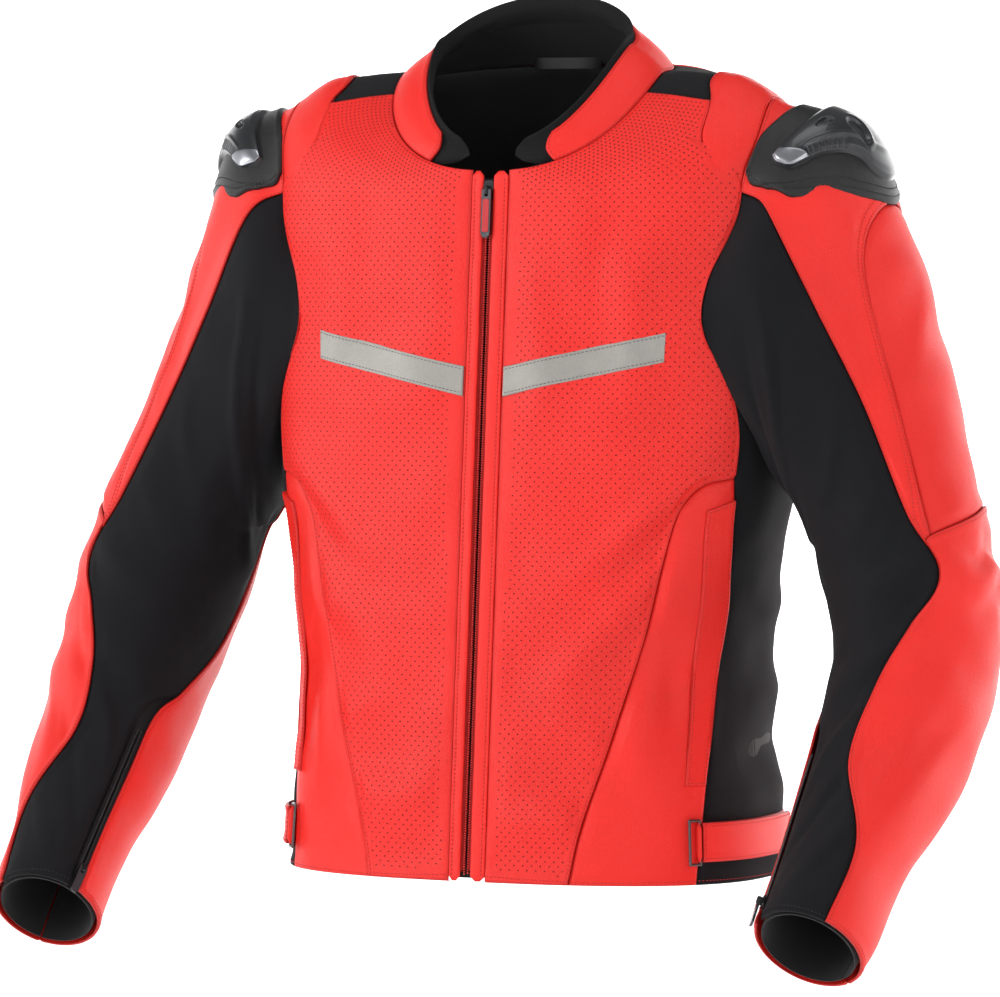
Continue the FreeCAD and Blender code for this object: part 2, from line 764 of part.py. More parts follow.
# elbow panel: rounded top, lower seam across the elbow
ELBOW_FOOT_W = 0.425
ELBOW_FOOT = stretch_front(0.45)
elbow_edge = curve(
    [BACK_SEAM_TURN, 0.175], [-22, 0.165], [12, 0.167], [33, 0.195], [43, 0.27], [48, 0.36], [50, 0.435])
elbow_top = along(elbow_edge, 0.0, 0.5)
elbow_front = along(elbow_edge, 0.5, 1.0)
forearm_top = curve([BACK_SEAM_TURN, ELBOW_FOOT_W], [-25, 0.412], [12, 0.422], elbow_edge(1.0), ELBOW_FOOT)
elbow_foot = along(forearm_top, 0.0, 0.75)
upper_outside = pieced((0.5, armhole_line(BACK_SEAM_TURN, FRONT_SEAM[0])), (1.0, along(stretch_front, 0.0, 0.45)))

write_pair("sleeve_elbow_panel", sleeve_panel(
    (elbow_foot, backwards(elbow_front), elbow_top,
     straight(forearm_top(0.0), elbow_edge(0.0))), LEATHER, (15, 15)))
write_pair("sleeve_forearm_panel", sleeve_panel(
    (cuff_line(BACK_SEAM_TURN, cuff_front), backwards(along(stretch_front, 0.45, 1.0)), forearm_top,
     straight([BACK_SEAM_TURN, 1.0], forearm_top(0.0))), LEATHER, (15, 25)))
write_pair("sleeve_upper_panel", panel(sleeve_offset, (
    elbow_edge, along(forearm_top, 0.75, 1.0), upper_outside,
    straight(elbow_top(0.0), [BACK_SEAM_TURN, 0.0])), -LEATHER, 0.0, (33, 9), SEAM_GAP, (0.5,)))

# ---------------------------------------------------------------- straight frames for the zips


def frame(origin, up, out):
    """Placement with local z along a zip, local -y outwards and local x across it."""
    z = unit(up)
    y = unit(out - z * out.dot(z)) * -1
    x = y.cross(z)
    return FreeCAD.Placement(FreeCAD.Matrix(
        x.x, y.x, z.x, origin.x, x.y, y.y, z.y, origin.y, x.z, y.z, z.z, origin.z, 0, 0, 0, 1))


def block(x0, x1, y0, y1, z0, z1):
    """Box between two corners; x across, y inwards, z along."""
    return Part.makeBox(x1 - x0, y1 - y0, z1 - z0, V(x0, y0, z0))


def rounded(shape, radius, axis):
    """Rounds the edges that run along one axis."""
    edges = []
    for edge in shape.Edges:
        a, b = edge.Vertexes[0].Point, edge.Vertexes[-1].Point
        if abs(unit(b - a).dot(axis)) > 0.99:
            edges.append(edge)
    return shape.makeFillet(radius, edges)


def placed(shape, placement):
    moved = shape.copy()
    moved.Placement = placement
    return moved


def zip_half(side, z0, z1, depth, tape_width):
    """Tape with its row of coil; depth is the middle of the chain below the leather."""
    coil_in = COIL_GAP / 2
    coil_out = coil_in + COIL_WIDTH
    coil = rounded(block(coil_in, coil_out, depth - COIL_HEIGHT / 2, depth + COIL_HEIGHT / 2, z0, z1),
                   COIL_HEIGHT * 0.35, V(0, 0, 1))
    tape = block(coil_out - 0.5, coil_in + tape_width, depth - TAPE / 2, depth + TAPE / 2, z0, z1)
    half = coil.fuse(tape).removeSplitter()
    return half if side > 0 else half.mirror(V(0, 0, 0), V(1, 0, 0))


def zip_slider(z, depth, width, length):
    """Two plates joined by a post between the coil rows, with a bridge on top that has the pin hole.
    z is the middle of the slider."""
    half = COIL_HEIGHT / 2 + TOOTH_CLEAR
    top = rounded(block(-width / 2, width / 2, depth - half - PLATE, depth - half, z - length / 2, z + length / 2),
                  width * 0.3, V(0, 1, 0))
    bottom = rounded(block(-width / 2, width / 2, depth + half, depth + half + PLATE,
                           z - length / 2, z + length / 2), width * 0.3, V(0, 1, 0))
    post = block(-POST / 2, POST / 2, depth - half - 0.1, depth + half + 0.1,
                 z, z + POST_LENGTH)
    face = depth - half - PLATE
    bridge = rounded(block(-BRIDGE / 2, BRIDGE / 2, face - BRIDGE_RISE, face + 0.1,
                           z - BRIDGE_LENGTH / 2, z + BRIDGE_LENGTH / 2), 1.2, V(1, 0, 0))
    hole = Part.makeCylinder(PIN / 2 + PIN_CLEAR, BRIDGE + 2, V(-BRIDGE / 2 - 1, face - PIN_RISE, z), V(1, 0, 0))
    return top.fuse([bottom, post, bridge]).removeSplitter().cut(hole)


BRIDGE = 1.8
BRIDGE_RISE = 4.4
BRIDGE_LENGTH = 7.0
PIN = 1.5
PIN_CLEAR = 0.35
PIN_RISE = 2.6            # pin centre above the slider's top plate
CHEEK_GAP = 0.5           # between the bridge and the puller's cheeks
WINDOW = 5.2              # how far below the pin the puller's window for the bridge reaches
GRIP_CLEAR = 0.1


def zip_puller(z, pin_y, width, length, thickness, grip):
    """Puller that hangs from the pin: cheeks, pin, plate with a pointed end, and a grip let into it."""
    half = thickness / 2
    inner = BRIDGE / 2 + CHEEK_GAP
    outline = [
        V(-width / 2, pin_y - half, z + half * 0.4), V(-width / 2, pin_y - half, z - length + width * 0.4),
        V(-width / 4, pin_y - half, z - length), V(width / 4, pin_y - half, z - length),
        V(width / 2, pin_y - half, z - length + width * 0.4), V(width / 2, pin_y - half, z + half * 0.4),
    ]
    plate = Part.Face(Part.makePolygon(outline + outline[:1])).extrude(V(0, thickness, 0))
    barrel = Part.makeCylinder(half, width, V(-width / 2, pin_y, z), V(1, 0, 0))
    window = block(-inner, inner, pin_y - thickness, pin_y + thickness, z - WINDOW, z + thickness)
    pin = Part.makeCylinder(PIN / 2, inner * 2 + 0.4, V(-inner - 0.2, pin_y, z), V(1, 0, 0))
    low, high = z - length + width * 0.55, z - WINDOW - 2.0
    recess = rounded(block(-width / 2 + 1.2, width / 2 - 1.2, pin_y - thickness, pin_y + thickness, low, high),
                     1.0, V(0, 1, 0))
    body = plate.fuse(barrel).cut(window).fuse(pin)
    if not grip:
        return body.removeSplitter(), None
    c = GRIP_CLEAR
    insert = rounded(block(-width / 2 + 1.2 + c, width / 2 - 1.2 - c, pin_y - half - 0.3, pin_y + half + 0.3,
                           low + c, high - c), 0.9, V(0, 1, 0))
    return body.cut(recess).removeSplitter(), insert


# ---------------------------------------------------------------- front closure
front_foot = V(0, AXIS_Y - FRONT_HEM_DEPTH, HEM_Z)
front_head = V(0, AXIS_Y - FRONT_NECK_DEPTH, NECK_FRONT_Z)
FRONT_LENGTH = (front_head - front_foot).Length
front = frame(front_foot, front_head - front_foot, V(0, -1, 0))
PLACKET = 2.0
CHAIN_DEPTH = PLACKET + 0.3 + TAPE / 2
edge_out = ZIP_SLOT / 2


def placket(x0, x1):
    strip = block(x0, x1, 0, PLACKET, SEAM_GAP, FRONT_LENGTH - SEAM_GAP)
    return placed(rounded(strip, PLACKET * 0.4, V(0, 0, 1)), front)


write("front_placket_left", placket(edge_out, edge_out + PLACKET_LEFT - SEAM_GAP))
write("front_placket_right", placket(-edge_out - PLACKET_RIGHT + SEAM_GAP, -edge_out))

chain_low, chain_high = ZIP_END_MARGIN, FRONT_LENGTH - ZIP_TOP_MARGIN
left_half = zip_half(1, chain_low, chain_high, CHAIN_DEPTH, TAPE_WIDTH)
retainer = block(COIL_GAP / 2, edge_out - TOOTH_CLEAR, CHAIN_DEPTH - RETAINER / 2, CHAIN_DEPTH + RETAINER / 2,
                 chain_low - 1, chain_low + RETAINER_LENGTH)
write("front_zip_half_left", placed(left_half.fuse(retainer).removeSplitter(), front))
write("front_zip_half_right", placed(zip_half(-1, chain_low, chain_high, CHAIN_DEPTH, TAPE_WIDTH), front))

slider_z = chain_high - SLIDER_LENGTH / 2
slider_face = CHAIN_DEPTH - COIL_HEIGHT / 2 - TOOTH_CLEAR - PLATE
write("front_zip_slider", placed(zip_slider(slider_z, CHAIN_DEPTH, SLIDER_WIDTH, SLIDER_LENGTH), front))
pin_y = slider_face - PIN_RISE
front_puller, front_grip = zip_puller(slider_z, pin_y, PULLER_WIDTH, PULLER_LENGTH, PULLER, True)
write("front_zip_puller", placed(front_puller, front))
write("front_zip_puller_grip", placed(front_grip, front))

FLAP_DEPTH = CHAIN_DEPTH + COIL_HEIGHT / 2 + TOOTH_CLEAR + PLATE + 0.8
FLAP = 1.6
FLAP_RIGHT = 24.0         # how far the flap reaches on each side of the zip
FLAP_LEFT = 16.0
FLAP_MARGIN = 3.0
wind_flap = block(-FLAP_RIGHT, FLAP_LEFT, FLAP_DEPTH, FLAP_DEPTH + FLAP, FLAP_MARGIN, FRONT_LENGTH - 2 * FLAP_MARGIN)
write("wind_flap", placed(rounded(wind_flap, 5, V(0, 1, 0)), front))

# ---------------------------------------------------------------- cuff closures
CUFF_CHAIN_DEPTH = 1.2
CUFF_LINE_LIFT = 0.4
cuff_foot = sleeve_offset(ZIP_TURN, ZIP_LOWER, CUFF_LINE_LIFT)
cuff_head = sleeve_offset(ZIP_TURN, ZIP_UPPER, CUFF_LINE_LIFT)
cuff_out = normal_at(sleeve_at, ZIP_TURN, (ZIP_LOWER + ZIP_UPPER) / 2, 2.0, 0.01)
cuff = frame(cuff_foot, cuff_head - cuff_foot, cuff_out)
CUFF_LENGTH = (cuff_head - cuff_foot).Length
cuff_halves = [zip_half(side, 1.0, CUFF_LENGTH - 1, CUFF_CHAIN_DEPTH, CUFF_TAPE_WIDTH) for side in (1, -1)]
write_pair("cuff_zip_halves", placed(group(*cuff_halves), cuff))
cuff_slider_z = 2 + CUFF_SLIDER_LENGTH / 2
write_pair("cuff_zip_slider", placed(
    zip_slider(cuff_slider_z, CUFF_CHAIN_DEPTH, CUFF_SLIDER_WIDTH, CUFF_SLIDER_LENGTH), cuff))
cuff_pin_y = CUFF_CHAIN_DEPTH - COIL_HEIGHT / 2 - TOOTH_CLEAR - PLATE - PIN_RISE
cuff_puller, _ = zip_puller(cuff_slider_z, cuff_pin_y, CUFF_PULLER_WIDTH, CUFF_PULLER_LENGTH, CUFF_PULLER, False)
write_pair("cuff_zip_puller", placed(cuff_puller, cuff))

# ---------------------------------------------------------------- linings
SLEEVE_LINING_DEPTH = 4.8


NECK_LEVEL = 0.985
LINING_EDGE = TAPE_WIDTH + COIL_GAP / 2 + 1.5
SHOULDER_TOP = ARMHOLE[0][1]
ARMPIT = ARMHOLE[6][1]
side_line = straight([0.0, 0.0], [0.0, ARMPIT])
shoulder_line = straight([0.0, SHOULDER_TOP], [0.0, NECK_LEVEL])
lining_edge = along(front_edge(LINING_EDGE), 0.0, NECK_LEVEL)
lining_side = pieced((0.36, side_line), (0.75, along(armhole, 0.5, 0.0)), (1.0, shoulder_line))
lining_front = panel(body_offset, (
    straight(lining_edge(0), [0.0, 0.0]), lining_side, straight(lining_edge(1), [0.0, NECK_LEVEL]), lining_edge),
    -LINING_DEPTH - LINING, -LINING_DEPTH, (15, 27), SEAM_GAP, (), (0.36, 0.75))
lining_back_side = pieced((0.36, side_line), (0.75, along(armhole, 0.5, 1.0)), (1.0, shoulder_line))
lining_back = panel(whole_offset, (
    straight([180.0, 0.0], [0.0, 0.0]), lining_back_side,
    straight([180.0, NECK_LEVEL], [0.0, NECK_LEVEL]), flipped(lining_back_side)),
    -LINING_DEPTH - LINING, -LINING_DEPTH, (27, 27), SEAM_GAP, (), (0.36, 0.75))
write("torso_lining", group(lining_front, mirrored(lining_front), lining_back))

slit = 1.0
write_pair("sleeve_lining", panel(sleeve_offset, (
    cuff_line(BACK_SEAM_TURN + slit, BACK_SEAM_TURN + 360 - slit),
    straight([BACK_SEAM_TURN + 360 - slit, 1.0], [BACK_SEAM_TURN + 360 - slit, 0.02]),
    straight([BACK_SEAM_TURN + slit, 0.02], [BACK_SEAM_TURN + 360 - slit, 0.02]),
    straight([BACK_SEAM_TURN + slit, 1.0], [BACK_SEAM_TURN + slit, 0.02])),
    -SLEEVE_LINING_DEPTH - LINING, -SLEEVE_LINING_DEPTH, (33, 33), 0.0))

# ---------------------------------------------------------------- protector pads inside
PAD_GAP = 0.8
SHOULDER_PAD = 8.0
ELBOW_PAD = 9.0
BACK_PAD = 12.0
pad_top = -SLEEVE_LINING_DEPTH - LINING - PAD_GAP


def sleeve_pad(turn0, turn1, w0, w1, thickness):
    return panel(sleeve_offset, (
        straight([turn0, w1], [turn1, w1]), straight([turn1, w1], [turn1, w0]),
        straight([turn0, w0], [turn1, w0]), straight([turn0, w1], [turn0, w0])),
        pad_top - thickness, pad_top, (9, 9), 0.0)


shoulder_pad = sleeve_pad(-45, 42, 0.05, 0.24, SHOULDER_PAD)
write("shoulder_protectors", group(shoulder_pad, mirrored(shoulder_pad)))
elbow_pad = sleeve_pad(-45, 30, 0.36, 0.6, ELBOW_PAD)
write("elbow_protectors", group(elbow_pad, mirrored(elbow_pad)))
back_top = across_back(YOKE_Z - 15, 0.5)
back_foot = across_back(RIB_TOP_Z, 0.42)
back_pad_side = straight(back_foot(1), back_top(1))
write("back_protector", panel(
    whole_offset, (back_foot, back_pad_side, back_top, flipped(back_pad_side)),
    -LINING_DEPTH - LINING - PAD_GAP - BACK_PAD, -LINING_DEPTH - LINING - PAD_GAP, (13, 11), 0.0))

# ---------------------------------------------------------------- shoulder armour
ARMOUR_BASE = 3.2
ARMOUR_SHELL = 2.4
ARMOUR_CROWN = 6.0
base_low = curve(
    [51, 0.059], [51, 0.098], [48, 0.114], [43.5, 0.124], [37.5, 0.133], [28, 0.145], [18, 0.156], [1, 0.165],
    [-18, 0.158], [-38, 0.125], [-52, 0.075], [-60, 0.03])
base_front = curve(base_low(0), [45.5, 0.019], [37, 0.002])
base_high = curve(
    base_front(1), [29, 0.001], [20, 0.003], [10, 0.018], [-2, 0.03], [-16, 0.028], [-34, 0.014], [-58, 0.004])
base = panel(sleeve_offset, (
    base_low, straight(base_low(1), base_high(1)), base_high, base_front),
    LAYER_GAP, LAYER_GAP + ARMOUR_BASE, (27, 9), 0.0)
write_pair("shoulder_armour_base", base)


def shell_lift(phi, w, distance):
    """The shell rises to its crown over the middle of the shoulder."""
    across = min(abs(phi + 2) / 44.0, 1.0)
    up = min(abs(w - 0.098) / 0.055, 1.0)
    crown = ARMOUR_CROWN * (1 - across ** 2.4) * (1 - up ** 2.6)
    return sleeve_offset(phi, w, distance + max(crown, 0.0))


shell_low = curve(
    [41, 0.072], [40.5, 0.084], [36.5, 0.092], [32.5, 0.096], [26.5, 0.104], [20, 0.113], [14, 0.124], [9.5, 0.139],
    [-2, 0.148], [-18, 0.14], [-34, 0.115], [-44, 0.08])
shell_front = curve(shell_low(0), [38.5, 0.052], [34, 0.039])
shell_high = curve(
    shell_front(1), [27.5, 0.042], [20.5, 0.047], [13, 0.052], [2, 0.055], [-12, 0.053], [-28, 0.052], [-42, 0.055])
shell_floor = LAYER_GAP + ARMOUR_BASE + 0.3
write_pair("shoulder_shell", panel(shell_lift, (
    shell_low, straight(shell_low(1), shell_high(1)), shell_high, shell_front),
    shell_floor, shell_floor + ARMOUR_SHELL, (25, 11), 0.0))

# ---------------------------------------------------------------- reflective band and pockets
BAND_HEIGHT = 24.0
BAND_Z = front_high(0.26)
BAND_RISE = 28.0
BAND_END = 0.68           # share of the half-width where the band ends


def band_line(start, z):
    half = catmull(RINGS, level_where(-90.0, z))[0]
    points = [spot(mix(start / half, BAND_END, k / 3), z + BAND_RISE * k / 3) for k in range(4)]
    return curve(*points)


def band(start):
    low, high = band_line(start, BAND_Z), band_line(start, BAND_Z + BAND_HEIGHT)
    return panel(body_offset, (low, straight(low(1), high(1)), high, straight(low(0), high(0))),
                 0.3, 0.3 + TRIM, (13, 4), 0.0)


write("reflective_bands", group(
    band(ZIP_SLOT / 2 + PLACKET_LEFT + 1.5), mirrored(band(ZIP_SLOT / 2 + PLACKET_RIGHT + 1.5))))

flap_left = curve(
    spot(0.845, low(0.243)), spot(0.868, low(0.424)), spot(0.88, low(0.673)), spot(0.857, low(0.922)))
flap_right = curve(
    spot(0.905, low(0.243)), spot(0.934, low(0.424)), spot(0.956, low(0.673)), spot(0.931, low(0.947)))
write_pair("pocket_flap", panel(body_offset, (
    straight(flap_left(0), flap_right(0)), flap_right, straight(flap_left(1), flap_right(1)), flap_left),
    0.4, 0.4 + LEATHER, (5, 13), 0.0))

bag = panel(body_offset, (
    curve(spot(0.459, low(0.143)), spot(0.84, low(0.174))), curve(spot(0.84, low(0.174)), spot(0.843, low(0.798))),
    curve(spot(0.757, low(0.735)), spot(0.843, low(0.798))), curve(spot(0.459, low(0.143)), spot(0.757, low(0.735)))),
    -LINING_DEPTH + 0.4, -LEATHER - 0.6, (9, 9), 0.0)
write("pocket_bags", group(bag, mirrored(bag)))

# ---------------------------------------------------------------- waist straps
STRAP_LOW = HEM_Z + 18.0
STRAP_HIGH = STRAP_LOW + 31.0
STRAP = 1.6
STRAP_LIFT = 0.8
RING_WIRE = 2.4
RING_CLEAR = 0.3
STRAP_FRONT = -31.0
STRAP_END = 35.0
TAB_END = 16.0
HINGE_GAP = 1.0

strap_low, strap_high = level_where(0.0, STRAP_LOW), level_where(0.0, STRAP_HIGH)


def strap_layer(start, stop, lift):
    return panel(body_offset, (
        straight([start, strap_low], [stop, strap_low]), straight([stop, strap_low], [stop, strap_high]),
        straight([start, strap_high], [stop, strap_high]), straight([start, strap_low], [start, strap_high])),
        lift, lift + STRAP, (15, 5), 0.0)


fold_in = RING_WIRE / 2 + RING_CLEAR
fold_out = fold_in + STRAP
fold_lift = STRAP_LIFT + STRAP + fold_in
fold_foot = body_offset(STRAP_FRONT, strap_low, fold_lift)
fold_head = body_offset(STRAP_FRONT, strap_high, fold_lift)
fold = frame(fold_foot, fold_head - fold_foot, fold_foot - body_at(STRAP_FRONT, strap_low))
STRAP_WIDTH = (fold_head - fold_foot).Length
ring_outer = Part.makeCylinder(fold_out, STRAP_WIDTH)
ring_inner = Part.makeCylinder(fold_in, STRAP_WIDTH)
front_half = block(-fold_out - 1, 0, -fold_out - 1, fold_out + 1, -1, STRAP_WIDTH + 1)
fold_solid = placed(ring_outer.cut(ring_inner).common(front_half), fold)
write_pair("waist_strap", group(strap_layer(STRAP_FRONT, STRAP_END, STRAP_LIFT), fold_solid))

tab_lift = fold_lift + fold_in
radius = V(fold_foot.x, fold_foot.y - AXIS_Y, 0).Length
tab_start = STRAP_FRONT + math.degrees(HINGE_GAP / radius) * 1.6
write_pair("waist_tab", strap_layer(tab_start, TAB_END, tab_lift))

RING_REACH = 9.0
RING_MARGIN = 1.8


def bar(a, b):
    return Part.makeCylinder(RING_WIRE / 2, (b - a).Length, a, unit(b - a))


corners = [
    V(0, 0, -RING_MARGIN), V(0, 0, STRAP_WIDTH + RING_MARGIN),
    V(-RING_REACH, 0, STRAP_WIDTH + RING_MARGIN), V(-RING_REACH, 0, -RING_MARGIN),
]
wire_ring = bar(corners[0], corners[1])
for a, b in zip(corners[1:], corners[2:] + corners[:1]):
    wire_ring = wire_ring.fuse(bar(a, b))
for corner in corners:
    wire_ring = wire_ring.fuse(Part.makeSphere(RING_WIRE / 2, corner))
ring = placed(wire_ring.removeSplitter(), fold)
write("waist_rings", group(ring, mirrored(ring)))

# ---------------------------------------------------------------- inside the neck and the hem
LOOP_HALF = 30.0
LOOP_HEIGHT = 9.0
LOOP = 1.4
LOOP_STAND = 9.0          # clear space for a hook between loop and collar lining


def lining_face_y(x):
    """Depth of the collar lining's inner face behind the loop."""
    angle = math.degrees(math.acos((abs(x) / NECK_HALF_WIDTH) ** (BACK_SQUARE / 2)))
    return collar_offset(angle, 0.06, pad_far - COLLAR_PAD).y


def loop_lift(x, z, distance):
    bow = 1 - (x / LOOP_HALF) ** 4
    return V(x, lining_face_y(x) - LAYER_GAP - LOOP - (LOOP_STAND - LOOP) * bow + distance, z)


write("hang_loop", panel(loop_lift, (
    straight([-LOOP_HALF, -LOOP_HEIGHT], [LOOP_HALF, -LOOP_HEIGHT]),
    straight([LOOP_HALF, -LOOP_HEIGHT], [LOOP_HALF, 0.0]),
    straight([-LOOP_HALF, 0.0], [LOOP_HALF, 0.0]), straight([-LOOP_HALF, -LOOP_HEIGHT], [-LOOP_HALF, 0.0])),
    0.0, LOOP, (15, 4), 0.0))

trouser_low, trouser_high = across_back(HEM_Z + 18, 0.45), across_back(HEM_Z + 42, 0.45)
trouser_side = straight(trouser_low(1), trouser_high(1))
write("trouser_zip", panel(
    whole_offset, (trouser_low, trouser_side, trouser_high, flipped(trouser_side)),
    -LINING_DEPTH - LINING - 0.4 - 2.0, -LINING_DEPTH - LINING - 0.4, (15, 4), 0.0))
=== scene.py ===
# %% [markdown]
# # A leather riding jacket
# The jacket is sewn from about forty cut panels, so the scene is built the way it is sewn:
# first the smooth shape of the body and the sleeves, then the seam lines drawn on that
# shape, then each panel between its seams, and last the thread, the holes, the zips and
# the hard parts. The rigid frame is loaded first, because every piece rides on it.

# %% Load the frame
import math

import bpy
import numpy as np
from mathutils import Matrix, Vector


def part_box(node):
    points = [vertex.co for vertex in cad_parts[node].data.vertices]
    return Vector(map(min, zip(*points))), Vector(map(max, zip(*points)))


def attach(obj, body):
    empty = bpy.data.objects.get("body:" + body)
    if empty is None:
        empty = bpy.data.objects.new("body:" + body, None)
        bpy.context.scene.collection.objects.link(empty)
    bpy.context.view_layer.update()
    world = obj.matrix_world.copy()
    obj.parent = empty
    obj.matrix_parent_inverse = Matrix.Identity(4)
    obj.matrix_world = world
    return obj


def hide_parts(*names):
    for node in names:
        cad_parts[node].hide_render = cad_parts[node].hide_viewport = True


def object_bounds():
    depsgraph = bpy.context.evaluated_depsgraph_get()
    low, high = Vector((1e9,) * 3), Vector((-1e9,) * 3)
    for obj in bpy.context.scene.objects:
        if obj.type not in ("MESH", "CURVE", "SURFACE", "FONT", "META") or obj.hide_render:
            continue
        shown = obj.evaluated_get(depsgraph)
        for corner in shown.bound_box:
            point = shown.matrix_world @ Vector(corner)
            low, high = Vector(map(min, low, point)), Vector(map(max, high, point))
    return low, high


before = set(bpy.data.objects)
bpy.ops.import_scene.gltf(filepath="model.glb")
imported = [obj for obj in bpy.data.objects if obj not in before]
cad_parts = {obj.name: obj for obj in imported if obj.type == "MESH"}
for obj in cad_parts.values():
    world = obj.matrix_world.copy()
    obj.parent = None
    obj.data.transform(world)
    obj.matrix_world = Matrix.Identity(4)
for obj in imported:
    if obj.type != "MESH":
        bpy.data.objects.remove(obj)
cad_low, cad_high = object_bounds()

# %% [markdown]
# The camera comes first, so that every later step can be judged in the same picture.
# It stands 5.5 m away, a little to the wearer's left, at collar height, with a long lens.

# %% Camera
AXIS_Y = -66.0            # the body's middle plane, millimetres in front of the hang loop
MM = 0.001
view_turn = math.radians(25.0)
axis_point = Vector((0, AXIS_Y * MM, 0))
away = Vector((math.sin(view_turn), -math.cos(view_turn), 0))
screen_right = Vector((math.cos(view_turn), math.sin(view_turn), 0))
camera_data = bpy.data.cameras.new("camera")
camera = bpy.data.objects.new("camera", camera_data)
bpy.context.scene.collection.objects.link(camera)
camera.location = axis_point + away * 5.5 + Vector((0, 0, -0.114))
aim = axis_point + screen_right * -0.028 + Vector((0, 0, -0.357))
camera.rotation_mode = "QUATERNION"
camera.rotation_quaternion = (aim - camera.location).to_track_quat("-Z", "Y")
camera_data.sensor_width = 36
camera_data.lens = 245.0
camera_data.clip_end = 100
bpy.context.scene.camera = camera
print("camera at", [round(c, 3) for c in camera.location])

# %% [markdown]
# The studio is a round pale floor, 10 m across the middle, that curves up into a wall on
# every side, so that the camera can go all the way round. Two large soft lights stand in
# front and one hangs above. Large lights give leather its long soft highlights.

# %% Studio
FLOOR_Z = cad_low.z - 0.10


def plain_mesh(name, points, faces, material=None):
    mesh = bpy.data.meshes.new(name)
    mesh.from_pydata([tuple(p) for p in points], [], faces)
    mesh.update()
    piece = bpy.data.objects.new(name, mesh)
    bpy.context.scene.collection.objects.link(piece)
    if material:
        mesh.materials.append(material)
    return piece


def new_material(name, colour, roughness, metallic=0.0):
    material = bpy.data.materials.new(name)
    material.use_nodes = True
    shader = material.node_tree.nodes["Principled BSDF"]
    shader.inputs["Base Color"].default_value = (*colour, 1)
    shader.inputs["Roughness"].default_value = roughness
    shader.inputs["Metallic"].default_value = metallic
    return material, material.node_tree, shader


floor_material, _, floor_shader = new_material("studio_floor", (0.93, 0.93, 0.93), 0.9)
floor_shader.inputs["Emission Color"].default_value = (1, 1, 1, 1)
FLOOR_GLOW = 0.30
floor_shader.inputs["Emission Strength"].default_value = FLOOR_GLOW
FLOOR_RADIUS, CURVE, WALL_TOP, SIDES_ROUND = 10.0, 2.5, 7.0, 64
profile = [(FLOOR_RADIUS, 0.0)]
bends = np.radians(range(10, 91, 10))
profile += [(FLOOR_RADIUS + CURVE * math.sin(a), CURVE - CURVE * math.cos(a)) for a in bends]
profile += [(FLOOR_RADIUS + CURVE, WALL_TOP)]
angles = np.linspace(0, 2 * np.pi, SIDES_ROUND, endpoint=False)
sweep = [(r * math.cos(a), r * math.sin(a), FLOOR_Z + z) for r, z in profile for a in angles]
ring = np.arange(len(profile) * SIDES_ROUND).reshape(-1, SIDES_ROUND)
turned_ring = np.roll(ring, -1, axis=1)
sweep_faces = np.stack([ring[:-1], ring[1:], turned_ring[1:], turned_ring[:-1]], -1).reshape(-1, 4).tolist()
backdrop = plain_mesh("backdrop", sweep, sweep_faces + [ring[0].tolist()], floor_material)
for polygon in backdrop.data.polygons:
    polygon.use_smooth = True


def soft_light(name, place, target, size, power):
    data = bpy.data.lights.new(name, "AREA")
    data.shape = "RECTANGLE"
    data.size, data.size_y = size
    data.energy = power
    light = bpy.data.objects.new(name, data)
    bpy.context.scene.collection.objects.link(light)
    light.location = place
    light.rotation_mode = "QUATERNION"
    light.rotation_quaternion = (Vector(target) - Vector(place)).to_track_quat("-Z", "Y")


middle = (0, -0.1, -0.35)
soft_light("left_softbox", (-2.6, -2.4, 0.9), middle, (1.4, 2.0), 58)
soft_light("right_softbox", (2.9, -1.9, 0.8), middle, (1.2, 2.2), 17)
soft_light("top_softbox", (0.4, -0.6, 2.6), middle, (2.2, 1.4), 24)
soft_light("wall_light", (0.0, 4.0, 4.5), (0, 9.5, -0.4), (7.0, 2.0), 1500)
world = bpy.data.worlds.new("studio_air")
world.use_nodes = True
world.node_tree.nodes["Background"].inputs["Color"].default_value = (1, 1, 1, 1)
world.node_tree.nodes["Background"].inputs["Strength"].default_value = 0.2
bpy.context.scene.world = world
bpy.context.scene.view_settings.view_transform = "Standard"
print("floor at", round(FLOOR_Z, 3))

# %% [markdown]
# ## The shape of the body
# A jacket on an unseen body is a stack of rounded rings, from the hem to the neck. Each
# ring is a squared-off oval: wide at the side, flatter in front. A smooth curve through
# the rings gives a point for any angle round the body and any height.

# %% The body surface
HEM_Z, ARMPIT_Z = -656.0, -335.0
NECK_FRONT_Z, NECK_SIDE_Z, NECK_BACK_Z = -92.0, -13.0, -2.0
CHEST, WAIST, HEM, NECK, SHOULDER = 221.0, 195.0, 203.0, 115.0, 213.0
FRONT_HEM_DEPTH, FRONT_NECK_DEPTH = 132.0, 86.0
BACK_DEPTH, BACK_NECK_DEPTH = 151.0, 74.0
SQUARE = 2.5
RISE = 1.4


def mix(a, b, t):
    return a + (b - a) * t


def low(share):
    return mix(HEM_Z, ARMPIT_Z, share)


def side_high(share):
    return mix(ARMPIT_Z, NECK_SIDE_Z, share)


def front_high(share):
    return mix(ARMPIT_Z, NECK_FRONT_Z, share)


def back_high(share):
    return mix(ARMPIT_Z, NECK_BACK_Z, share)


def neck_to_shoulder(share):
    return mix(NECK, SHOULDER, share)


